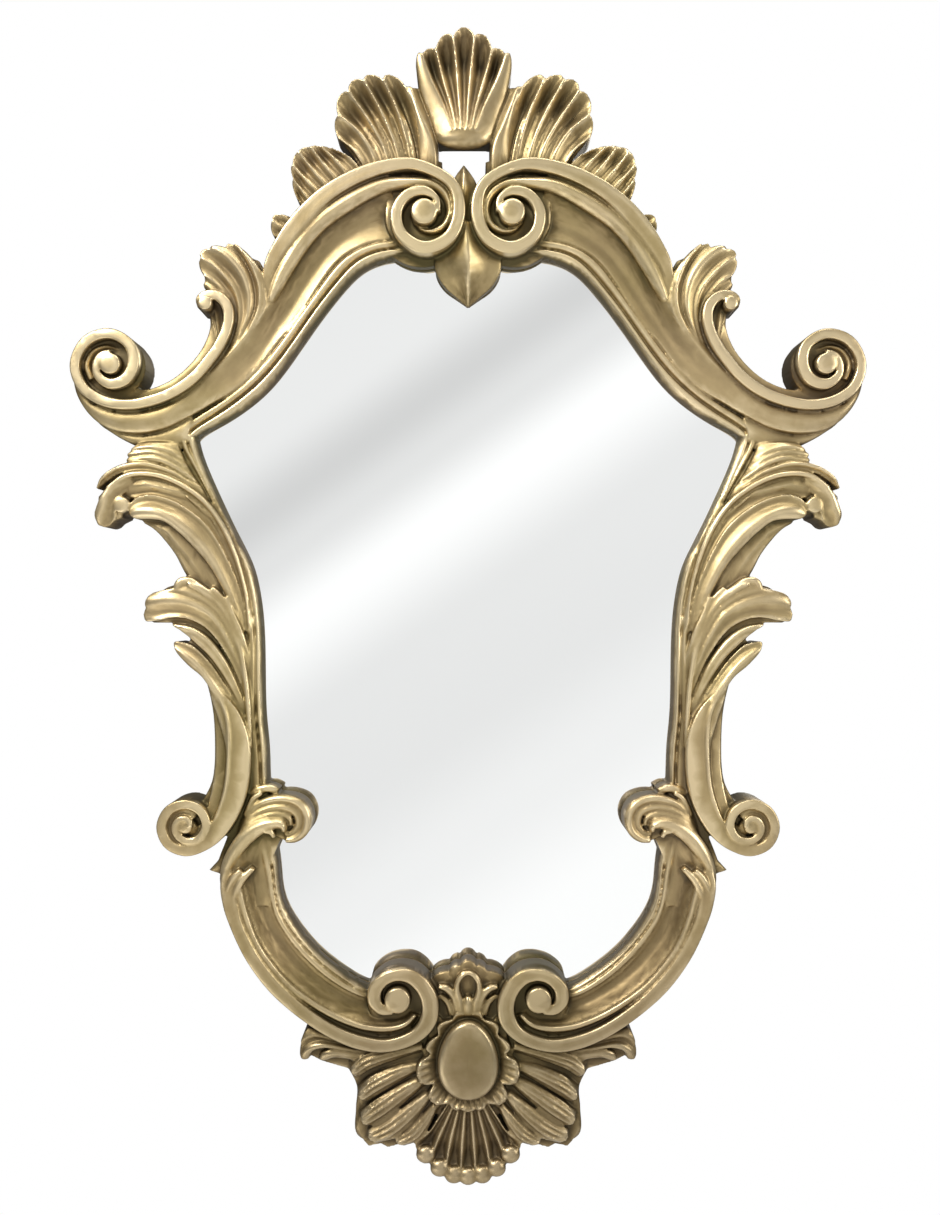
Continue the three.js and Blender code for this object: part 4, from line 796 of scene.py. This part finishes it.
def carveGrounds():
    moulding(level([[-44, 338], [0, 330], [44, 338]], 0), level([[-40, 400], [0, 398], [40, 400]], 0),
             [(0, 24), (1, 30)], 16)
    moulding(level([[-78, -396], [0, -366], [78, -396]], 0),
             level([[-66, -454], [-38, -478], [0, -486], [38, -478], [66, -454]], 0),
             [(0, 32), (1, 33)], 16)


print("carving the left half")
carveArch()
carveShoulder()
carveSightEdge()
carveHorn()
carveUpperLeaf()
carveSideLeaves()
carveLowerLeaves()
carveStem()
carveComma()
carveLowerScroll()
carveBottomWing()
leftHalf = joinCarvings()
carveCrestWing()
crestWing = joinCarvings()
carveCrestShell()
carveDrop()
carveCartouche()
carveBottomShell()
carveGrounds()
middle = joinCarvings()
print("mirroring and joining")
mirrorAcross(leftHalf)
mirrorAcross(crestWing, -4.0)
carvings.append(middle)


# The solid frame itself is the core: a merged copy drawn in a little, so that no gap is left between strokes
# and pressed down under the slim leaves of the lower cove and under the lobes of the foot
core = {
    "drawIn": -0.0016, "flatten": 0.93,
    "press": (
        {"across": (0.186, 0.216), "up": (-0.672, -0.594), "y": -0.0305},
        {"across": (0.034, 0.125), "up": (-0.895, -0.797), "y": -0.033},
    ),
}
bpy.ops.object.select_all(action="DESELECT")


def mergedCopy(node, name):
    # a copy of a CAD piece with its loose triangles joined, left in edit mode
    copy = bpy.data.objects.new(name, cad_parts[node].data.copy())
    scene.collection.objects.link(copy)
    copy.select_set(True)
    bpy.context.view_layer.objects.active = copy
    bpy.ops.object.mode_set(mode="EDIT")
    bpy.ops.mesh.select_all(action="SELECT")
    bpy.ops.mesh.remove_doubles(threshold=bench["merge"])
    return copy


coreCopy = mergedCopy("carved_frame", "core")
bpy.ops.transform.resize(value=(1, core["flatten"], 1), center_override=(0, 0, 0))
bpy.ops.object.mode_set(mode="OBJECT")
for press in core["press"]:
    near, far = press["across"]
    low, high = press["up"]
    for vertex in coreCopy.data.vertices:
        if near < abs(vertex.co.x) < far and low < vertex.co.z < high:
            vertex.co.y = max(vertex.co.y, press["y"])
shrink = coreCopy.modifiers.new("drawIn", "DISPLACE")
shrink.strength = core["drawIn"]
shrink.mid_level = 0
bpy.ops.object.modifier_apply(modifier="drawIn")
carvings.append(coreCopy)
carved = joinCarvings()
carved.name = "carvedGilt"
print("strokes joined:", len(carved.data.polygons), "faces")


def applyModifier(piece, kind, **values):
    bpy.ops.object.select_all(action="DESELECT")
    piece.select_set(True)
    bpy.context.view_layer.objects.active = piece
    modifier = piece.modifiers.new(kind.lower(), kind)
    for name, value in values.items():
        setattr(modifier, name, value)
    bpy.ops.object.modifier_apply(modifier=modifier.name)


# One skin over all the strokes, softened as by ground and paint
skin = {"grain": 0.0011, "soften": 0.5, "passes": 2, "faces": 198000, "smoothAngle": 50}
applyModifier(carved, "REMESH", mode="VOXEL", voxel_size=skin["grain"])
print("skin:", len(carved.data.polygons), "faces")
applyModifier(carved, "SMOOTH", factor=skin["soften"], iterations=skin["passes"])


# The back: sawn flat, with the rebate for glass and board and the seat of the hanger plate
def cutAway(name, build):
    bpy.ops.object.select_all(action="DESELECT")
    cutter = build()
    cutter.name = name
    applyModifier(carved, "BOOLEAN", operation="DIFFERENCE", solver="MANIFOLD", object=cutter)
    bpy.data.objects.remove(cutter)


back = {
    "lap": 0.001, "rebate": 0.012, "past": 0.02, "gap": 0.0003,
    # depth, half width and foot of the pocket behind the keyhole, and the opening under the crest shell
    "pocket": 0.0083, "pocketHalf": 0.008, "pocketFoot": -0.025,
    "piercingLow": (-0.0285, -0.0355, 0.0495), "piercingHigh": (0.0205, 0.02, 0.0715),
    "sawLow": (-0.6, 0.0, -1.2), "sawHigh": (0.6, 0.05, 0.4),
}


def blockAt(low, high):
    size = [b - a for a, b in zip(low, high)]
    middlePoint = [(a + b) / 2 for a, b in zip(low, high)]
    bpy.ops.mesh.primitive_cube_add(size=1, location=middlePoint)
    bpy.ops.transform.resize(value=size, center_override=middlePoint)
    bpy.ops.object.transform_apply(location=True, rotation=True, scale=True)
    return bpy.context.object


def sawPlane():
    return blockAt(back["sawLow"], back["sawHigh"])


def rebateBlock():
    cutter = mergedCopy("mirror_glass", "rebate")
    bpy.ops.object.mode_set(mode="OBJECT")
    middleY = sum(v.co.y for v in cutter.data.vertices) / len(cutter.data.vertices)
    for vertex in cutter.data.vertices:
        out = vertex.normal.copy()
        out.y = 0
        out.normalize()
        vertex.co += out * back["lap"]
        vertex.co.y = -back["rebate"] if vertex.co.y < middleY else back["past"]
    return cutter


def seatBlock():
    low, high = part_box("hanger_plate")
    gap = back["gap"]
    return blockAt((low.x - gap, low.y - gap, low.z - gap), (high.x + gap, back["past"], high.z + gap))


def pocketBlock():
    half = back["pocketHalf"]
    return blockAt((-half, -back["pocket"], back["pocketFoot"]), (half, back["past"], 0.0))


def piercingBlock():
    # the opening under the crest shell, behind its lip
    return blockAt(back["piercingLow"], back["piercingHigh"])


cutAway("saw", sawPlane)
cutAway("piercing", piercingBlock)
cutAway("rebate", rebateBlock)
cutAway("seat", seatBlock)
cutAway("pocket", pocketBlock)
print("back cut:", len(carved.data.polygons), "faces")
applyModifier(carved, "TRIANGULATE")
applyModifier(carved, "DECIMATE", ratio=min(1.0, skin["faces"] / len(carved.data.polygons)))
bpy.ops.object.shade_smooth_by_angle(angle=math.radians(skin["smoothAngle"]))
print("carved frame:", len(carved.data.polygons), "triangles")


# Recess value: how far a point lies under the carving round it, for the painted shade in the hollows and the painted
# highlight on the raised parts
# (reach of the look round, and the height that turns it from light to dark, in mm)
hollows = {
    "cell": 1.5, "edge": 20, "bare": 3,
    "recessShade": {"reach": 5, "span": 18}, "creaseShade": {"reach": 1.6, "span": 6},
}


def recessValues(piece, reach):
    cell, edge, bare = hollows["cell"], hollows["edge"], hollows["bare"]
    count = len(piece.data.vertices)
    place = np.empty(count * 3)
    piece.data.vertices.foreach_get("co", place)
    place = place.reshape(-1, 3) / bench["mm"]
    low = place.min(0) - edge
    column = ((place[:, 0] - low[0]) / cell).astype(int)
    row = ((place[:, 2] - low[2]) / cell).astype(int)
    shape = (row.max() + edge, column.max() + edge)
    height = np.full(shape, -1.0)
    np.maximum.at(height, (row, column), -place[:, 1])
    for _ in range(3):  # close the gaps between points
        grown = height.copy()
        for shift in ((0, 1), (0, -1), (1, 0), (-1, 0)):
            grown = np.maximum(grown, np.roll(height, shift, (0, 1)))
        height = np.where(height < 0, grown, height)
    solidCells = (height > bare).astype(float)
    total = np.where(height > bare, height, 0.0)
    window = int(reach / cell)
    shifts = range(-window, window + 1)
    for _ in range(3):
        for axis in (0, 1):
            total = sum(np.roll(total, s, axis) for s in shifts) / len(shifts)
            solidCells = sum(np.roll(solidCells, s, axis) for s in shifts) / len(shifts)
    around = total / np.maximum(solidCells, 1e-3)
    return around[row, column] + place[:, 1]


for name in ("recessShade", "creaseShade"):
    values = recessValues(carved, hollows[name]["reach"])
    attribute = carved.data.attributes.new(name, "FLOAT", "POINT")
    attribute.data.foreach_set("value", np.clip(0.5 + values / hollows[name]["span"], 0, 1).astype(np.float32))
print("recess values laid")


# Materials
def newMaterial(name):
    material = bpy.data.materials.new(name)
    material.use_nodes = True
    tree = material.node_tree
    shader = tree.nodes["Principled BSDF"]
    return material, tree, shader


def addNode(tree, kind, **values):
    node = tree.nodes.new(kind)
    for name, value in values.items():
        setattr(node, name, value)
    return node


def setInputs(node, **values):
    for name, value in values.items():
        node.inputs[name.replace("_", " ")].default_value = value
    return node


def addRamp(tree, stops, interpolation="LINEAR"):
    # a colour ramp of (position, colour) stops
    ramp = addNode(tree, "ShaderNodeValToRGB")
    ramp.color_ramp.interpolation = interpolation
    elements = ramp.color_ramp.elements
    first, *inner, last = stops
    elements[0].position, elements[0].color = first
    elements[1].position, elements[1].color = last
    for position, color in inner:
        stop = elements.new(position)
        stop.color = color
    return ramp


def addMath(tree, operation, *values):
    # a sum of sockets and plain numbers
    node = addNode(tree, "ShaderNodeMath", operation=operation)
    for socket, value in zip(node.inputs, values):
        if isinstance(value, bpy.types.NodeSocket):
            tree.links.new(value, socket)
        else:
            socket.default_value = value
    return node.outputs[0]


def newGroup(name, inputs, outputs):
    group = bpy.data.node_groups.new(name, "ShaderNodeTree")
    for label, kind, value in inputs:
        socket = group.interface.new_socket(label, in_out="INPUT", socket_type=kind)
        socket.default_value = value
    for label, kind in outputs:
        group.interface.new_socket(label, in_out="OUTPUT", socket_type=kind)
    return group, group.nodes.new("NodeGroupInput"), group.nodes.new("NodeGroupOutput")


# Tool marks: soft unevenness and fine brush streaks, as a height, used on the wood and the board
def makeToolMarks():
    group, given, result = newGroup(
        "toolMarks",
        [("Vector", "NodeSocketVector", (0, 0, 0)), ("Broad", "NodeSocketFloat", 60.0),
         ("Fine", "NodeSocketFloat", 420.0)],
        [("Height", "NodeSocketFloat"), ("Cloud", "NodeSocketFloat")])
    links = group.links
    broad = setInputs(addNode(group, "ShaderNodeTexNoise"), Detail=3.0, Roughness=0.55)
    links.new(given.outputs["Vector"], broad.inputs["Vector"])
    links.new(given.outputs["Broad"], broad.inputs["Scale"])
    stretch = addNode(group, "ShaderNodeMapping")
    stretch.inputs["Rotation"].default_value = (0, 0.7, 0)
    stretch.inputs["Scale"].default_value = (1, 1, 0.22)
    links.new(given.outputs["Vector"], stretch.inputs["Vector"])
    streak = setInputs(addNode(group, "ShaderNodeTexNoise"), Detail=4.0, Roughness=0.6)
    links.new(stretch.outputs["Vector"], streak.inputs["Vector"])
    links.new(given.outputs["Fine"], streak.inputs["Scale"])
    streaks = addMath(group, "MULTIPLY", streak.outputs["Fac"], 0.22)
    links.new(addMath(group, "ADD", broad.outputs["Fac"], streaks), result.inputs["Height"])
    links.new(broad.outputs["Fac"], result.inputs["Cloud"])
    return group


toolMarks = makeToolMarks()

gilt = {
    # the darkest two colours are painted shade for the hollows and creases, the lightest a painted highlight for the
    # raised parts
    "deep": (0.040, 0.028, 0.010, 1), "shade": (0.155, 0.105, 0.040, 1), "body": (0.44, 0.330, 0.160, 1),
    "ridgeHighlight": (0.78, 0.63, 0.38, 1), "olive": (0.30, 0.26, 0.10, 1), "rose": (0.44, 0.33, 0.21, 1),
    "metal": 0.85, "roughRidge": 0.35, "roughHollow": 0.54, "bump": 0.00045, "footZ": -0.93, "crestZ": 0.17,
    # share of the height, and the tone of the painted shade there
    "heightShade": (
        (0.0, (0.60, 0.585, 0.58, 1)), (0.11, (0.52, 0.505, 0.49, 1)), (0.19, (0.72, 0.70, 0.66, 1)),
        (0.28, (0.92, 0.91, 0.88, 1)), (0.4, (1.0, 1.0, 0.99, 1)), (0.66, (1.0, 1.0, 0.99, 1)),
        (0.87, (0.97, 0.965, 0.95, 1)), (0.93, (0.80, 0.79, 0.77, 1)), (1.0, (0.72, 0.71, 0.69, 1)),
    ),
}


def makeGiltPaint():
    material, tree, shader = newMaterial("champagneGilt")
    links = tree.links
    place = addNode(tree, "ShaderNodeTexCoord")
    marks = addNode(tree, "ShaderNodeGroup", node_tree=toolMarks)
    links.new(place.outputs["Object"], marks.inputs["Vector"])
    # the two recess values below set where the shade and the highlight are painted
    recessShade = addNode(tree, "ShaderNodeAttribute", attribute_name="recessShade")
    creaseShade = addNode(tree, "ShaderNodeAttribute", attribute_name="creaseShade")
    # a slow drift of colour over the frame, from a rosy champagne to olive gold
    drift = setInputs(addNode(tree, "ShaderNodeTexNoise"), Scale=7.0, Detail=2.0)
    links.new(place.outputs["Object"], drift.inputs["Vector"])
    driftRamp = addRamp(tree, ((0.38, gilt["rose"]), (0.64, gilt["olive"])))
    links.new(drift.outputs["Fac"], driftRamp.inputs["Fac"])
    # painted shade from hollow to ridge: dark in the hollows and creases, a painted highlight on the raised parts,
    # its border broken by the tool marks
    broken = addMath(tree, "MULTIPLY_ADD", marks.outputs["Cloud"], 0.22, -0.11)
    creaseShare = addMath(tree, "MULTIPLY_ADD", creaseShade.outputs["Fac"], 0.55, -0.275)
    depth = addMath(tree, "ADD", recessShade.outputs["Fac"], creaseShare)
    depthBroken = addMath(tree, "ADD", depth, broken)
    ramp = addRamp(tree, (
        (0.30, gilt["ridgeHighlight"]), (0.5, gilt["body"]), (0.78, gilt["shade"]), (1.0, gilt["deep"])))
    links.new(depthBroken, ramp.inputs["Fac"])
    tint = addNode(tree, "ShaderNodeMix", data_type="RGBA", blend_type="MIX")
    tint.inputs[0].default_value = 0.22
    links.new(ramp.outputs["Color"], tint.inputs[6])
    links.new(driftRamp.outputs["Color"], tint.inputs[7])
    # painted shade: the colour is darkened towards the foot and a little at the crest
    height = addNode(tree, "ShaderNodeSeparateXYZ")
    links.new(place.outputs["Object"], height.inputs[0])
    share = addNode(tree, "ShaderNodeMapRange")
    setInputs(share, From_Min=gilt["footZ"], From_Max=gilt["crestZ"])
    links.new(height.outputs["Z"], share.inputs["Value"])
    heightShade = addRamp(tree, gilt["heightShade"])
    links.new(share.outputs[0], heightShade.inputs["Fac"])
    heightShaded = addNode(tree, "ShaderNodeMix", data_type="RGBA", blend_type="MULTIPLY")
    heightShaded.inputs[0].default_value = 1.0
    links.new(tint.outputs[2], heightShaded.inputs[6])
    links.new(heightShade.outputs["Color"], heightShaded.inputs[7])
    links.new(heightShaded.outputs[2], shader.inputs["Base Color"])
    # rubbed ridges are smoother, hollows are duller
    rough = addNode(tree, "ShaderNodeMapRange")
    setInputs(rough, From_Min=0.3, From_Max=0.85, To_Min=gilt["roughRidge"], To_Max=gilt["roughHollow"])
    links.new(depthBroken, rough.inputs["Value"])
    links.new(rough.outputs[0], shader.inputs["Roughness"])
    bump = setInputs(addNode(tree, "ShaderNodeBump"), Strength=0.55, Distance=gilt["bump"])
    links.new(marks.outputs["Height"], bump.inputs["Height"])
    links.new(bump.outputs["Normal"], shader.inputs["Normal"])
    shader.inputs["Metallic"].default_value = gilt["metal"]
    return material


wood = {"light": (0.42, 0.29, 0.17, 1), "dark": (0.25, 0.16, 0.085, 1)}


def makeBareWood():
    material, tree, shader = newMaterial("sawnBack")
    links = tree.links
    place = addNode(tree, "ShaderNodeTexCoord")
    along = addNode(tree, "ShaderNodeMapping")
    along.inputs["Scale"].default_value = (1, 1, 0.06)
    links.new(place.outputs["Object"], along.inputs["Vector"])
    grain = setInputs(addNode(tree, "ShaderNodeTexNoise"), Scale=180.0, Detail=5.0, Distortion=0.4)
    links.new(along.outputs["Vector"], grain.inputs["Vector"])
    ramp = addRamp(tree, ((0.35, wood["dark"]), (0.65, wood["light"])))
    links.new(grain.outputs["Fac"], ramp.inputs["Fac"])
    links.new(ramp.outputs["Color"], shader.inputs["Base Color"])
    bump = setInputs(addNode(tree, "ShaderNodeBump"), Strength=0.4, Distance=0.0003)
    links.new(grain.outputs["Fac"], bump.inputs["Height"])
    links.new(bump.outputs["Normal"], shader.inputs["Normal"])
    shader.inputs["Roughness"].default_value = 0.7
    return material


def makeMirrorGlass():
    material, tree, shader = newMaterial("silveredGlass")
    links = tree.links
    place = addNode(tree, "ShaderNodeTexCoord")
    haze = setInputs(addNode(tree, "ShaderNodeTexNoise"), Scale=6.0, Detail=3.0)
    links.new(place.outputs["Object"], haze.inputs["Vector"])
    rough = setInputs(addNode(tree, "ShaderNodeMapRange"), To_Min=0.004, To_Max=0.02)
    links.new(haze.outputs["Fac"], rough.inputs["Value"])
    links.new(rough.outputs[0], shader.inputs["Roughness"])
    shader.inputs["Base Color"].default_value = (0.93, 0.94, 0.935, 1)
    shader.inputs["Metallic"].default_value = 1.0
    return material


board = {"dark": (0.11, 0.066, 0.034, 1), "light": (0.24, 0.155, 0.088, 1)}


def makeBoard():
    material, tree, shader = newMaterial("brownFibreBoard")
    links = tree.links
    place = addNode(tree, "ShaderNodeTexCoord")
    marks = addNode(tree, "ShaderNodeGroup", node_tree=toolMarks)
    setInputs(marks, Broad=240.0, Fine=1400.0)
    links.new(place.outputs["Object"], marks.inputs["Vector"])
    ramp = addRamp(tree, ((0.3, board["dark"]), (0.72, board["light"])))
    links.new(marks.outputs["Cloud"], ramp.inputs["Fac"])
    links.new(ramp.outputs["Color"], shader.inputs["Base Color"])
    bump = setInputs(addNode(tree, "ShaderNodeBump"), Strength=0.35, Distance=0.0002)
    links.new(marks.outputs["Height"], bump.inputs["Height"])
    links.new(bump.outputs["Normal"], shader.inputs["Normal"])
    shader.inputs["Roughness"].default_value = 0.82
    return material


def makeSteel(name, dark, light, roughLow, roughHigh):
    material, tree, shader = newMaterial(name)
    links = tree.links
    place = addNode(tree, "ShaderNodeTexCoord")
    brushed = addNode(tree, "ShaderNodeMapping")
    brushed.inputs["Scale"].default_value = (1, 1, 0.05)
    links.new(place.outputs["Object"], brushed.inputs["Vector"])
    lines = setInputs(addNode(tree, "ShaderNodeTexNoise"), Scale=1500.0, Detail=2.0)
    links.new(brushed.outputs["Vector"], lines.inputs["Vector"])
    ramp = addRamp(tree, ((0.0, dark), (1.0, light)))
    links.new(lines.outputs["Fac"], ramp.inputs["Fac"])
    links.new(ramp.outputs["Color"], shader.inputs["Base Color"])
    rough = setInputs(addNode(tree, "ShaderNodeMapRange"), To_Min=roughLow, To_Max=roughHigh)
    links.new(lines.outputs["Fac"], rough.inputs["Value"])
    links.new(rough.outputs[0], shader.inputs["Roughness"])
    shader.inputs["Metallic"].default_value = 1.0
    return material


giltPaint = makeGiltPaint()
sawnBack = makeBareWood()
carved.data.materials.clear()
carved.data.materials.append(giltPaint)
carved.data.materials.append(sawnBack)
for polygon in carved.data.polygons:
    centre = polygon.center
    flatBack = polygon.normal.y > 0.9 and centre.y > -0.0135
    polygon.material_index = 1 if flatBack else 0
finishes = {
    "mirror_glass": makeMirrorGlass(),
    "backing_board": makeBoard(),
    "hanger_plate": makeSteel("zincPlate", (0.45, 0.46, 0.48, 1), (0.72, 0.73, 0.74, 1), 0.25, 0.42),
}
screwFinish = makeSteel("screwSteel", (0.34, 0.35, 0.36, 1), (0.6, 0.61, 0.62, 1), 0.22, 0.4)
for name in ("hanger_screw_top", "hanger_screw_bottom"):
    finishes[name] = screwFinish
for name, material in finishes.items():
    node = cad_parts[name]
    node.data.materials.clear()
    node.data.materials.append(material)
print("materials made")

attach(carved, "root")
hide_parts("carved_frame")


# Room: a pale floor, soft lights, a white surround, and the pale card that the glass mirrors
room = {"floorPlace": (0, -2.3, -1.7), "floorSize": (8, 7), "world": 0.17, "surround": 1.0}


def stagePlane(name, size, place, turn, material):
    bpy.ops.mesh.primitive_plane_add(size=1, location=place, rotation=turn)
    plane = bpy.context.object
    plane.name = name
    spread = (size[0], 1, size[1]) if turn[0] else (size[0], size[1], 1)
    bpy.ops.transform.resize(value=spread, center_override=place)
    bpy.ops.object.transform_apply(location=True, rotation=True, scale=True)
    plane.data.materials.append(material)
    return plane


def makePaleFloor():
    material, tree, shader = newMaterial("paleFloor")
    shader.inputs["Base Color"].default_value = (0.9, 0.9, 0.9, 1)
    shader.inputs["Roughness"].default_value = 0.9
    return material


card = {
    "place": (0, -2.0, -0.385), "size": (2.0, 2.09), "glow": 1.06,
    "slope": 35, "middle": -0.3745, "reach": 1.0,
    # share across the bands, and how bright it is there
    "bands": (
        (0.0, 0.80), (0.16, 0.82), (0.24, 0.64), (0.30, 0.76), (0.38, 1.0), (0.50, 0.79), (0.62, 0.78),
        (0.75, 0.86), (0.9, 0.97),
    ),
}


def makeCard():
    # diagonal bands of pale grey, as a studio wall shows in a mirror
    material, tree, shader = newMaterial("studioCard")
    links = tree.links
    place = addNode(tree, "ShaderNodeTexCoord")
    along = math.radians(card["slope"])
    across = addNode(tree, "ShaderNodeVectorMath", operation="DOT_PRODUCT")
    across.inputs[1].default_value = (math.sin(along), 0, -math.cos(along))
    links.new(place.outputs["Object"], across.inputs[0])
    middleAcross = -card["middle"] * math.cos(along)
    span = setInputs(
        addNode(tree, "ShaderNodeMapRange"), From_Min=middleAcross - card["reach"],
        From_Max=middleAcross + card["reach"])
    links.new(across.outputs["Value"], span.inputs["Value"])
    ramp = addRamp(tree, [(share, (tone, tone, tone, 1)) for share, tone in card["bands"]], "EASE")
    links.new(span.outputs[0], ramp.inputs["Fac"])
    shader.inputs["Base Color"].default_value = (0, 0, 0, 1)
    links.new(ramp.outputs["Color"], shader.inputs["Emission Color"])
    shader.inputs["Emission Strength"].default_value = card["glow"]
    return material


stagePlane("floor", room["floorSize"], room["floorPlace"], (0, 0, 0), makePaleFloor())
studioCard = stagePlane("card", card["size"], card["place"], (math.pi / 2, 0, 0), makeCard())
studioCard.visible_camera = False


lights = {
    "keyLight": {"place": (-1.3, -1.5, 1.2), "aim": (0, 0, -0.35), "size": (0.8, 0.8), "power": 58},
    "fillLight": {"place": (1.9, -1.2, 0.1), "aim": (0, 0, -0.4), "size": (0.5, 1.4), "power": 23},
    "topLight": {"place": (0.2, -0.7, 1.5), "aim": (0, 0, -0.2), "size": (1.6, 0.4), "power": 18},
    "lowLight": {"place": (-0.9, -1.0, -1.5), "aim": (0, 0, -0.5), "size": (1.0, 0.4), "power": 3},
    "backLight": {"place": (1.4, 1.7, 0.7), "aim": (0, 0, -0.4), "size": (1.4, 1.4), "power": 26},
}


def softLight(name, place, aim, size, power):
    bpy.ops.object.light_add(type="AREA", location=place)
    light = bpy.context.object
    light.name = name
    light.data.shape = "RECTANGLE"
    light.data.size, light.data.size_y = size
    light.data.energy = power
    light.visible_camera = False
    x, y, z = (b - a for a, b in zip(place, aim))
    light.rotation_euler = (math.acos(-z / math.hypot(x, y, z)), 0, math.atan2(y, x) - math.pi / 2)


for name, values in lights.items():
    softLight(name, **values)
# the camera sees a white surround, and the gilt is lit by a dimmer one
world = bpy.data.worlds.new("softRoom")
scene.world = world
world.use_nodes = True
worldTree = world.node_tree
soft = worldTree.nodes["Background"]
soft.inputs["Color"].default_value = (0.93, 0.95, 1.0, 1)
soft.inputs["Strength"].default_value = room["world"]
white = addNode(worldTree, "ShaderNodeBackground")
white.inputs["Color"].default_value = (1, 1, 1, 1)
white.inputs["Strength"].default_value = room["surround"]
seen = addNode(worldTree, "ShaderNodeLightPath")
either = addNode(worldTree, "ShaderNodeMixShader")
worldTree.links.new(seen.outputs["Is Camera Ray"], either.inputs[0])
worldTree.links.new(soft.outputs[0], either.inputs[1])
worldTree.links.new(white.outputs[0], either.inputs[2])
worldTree.links.new(either.outputs[0], worldTree.nodes["World Output"].inputs["Surface"])
scene.view_settings.view_transform = "Standard"
print("room lit")
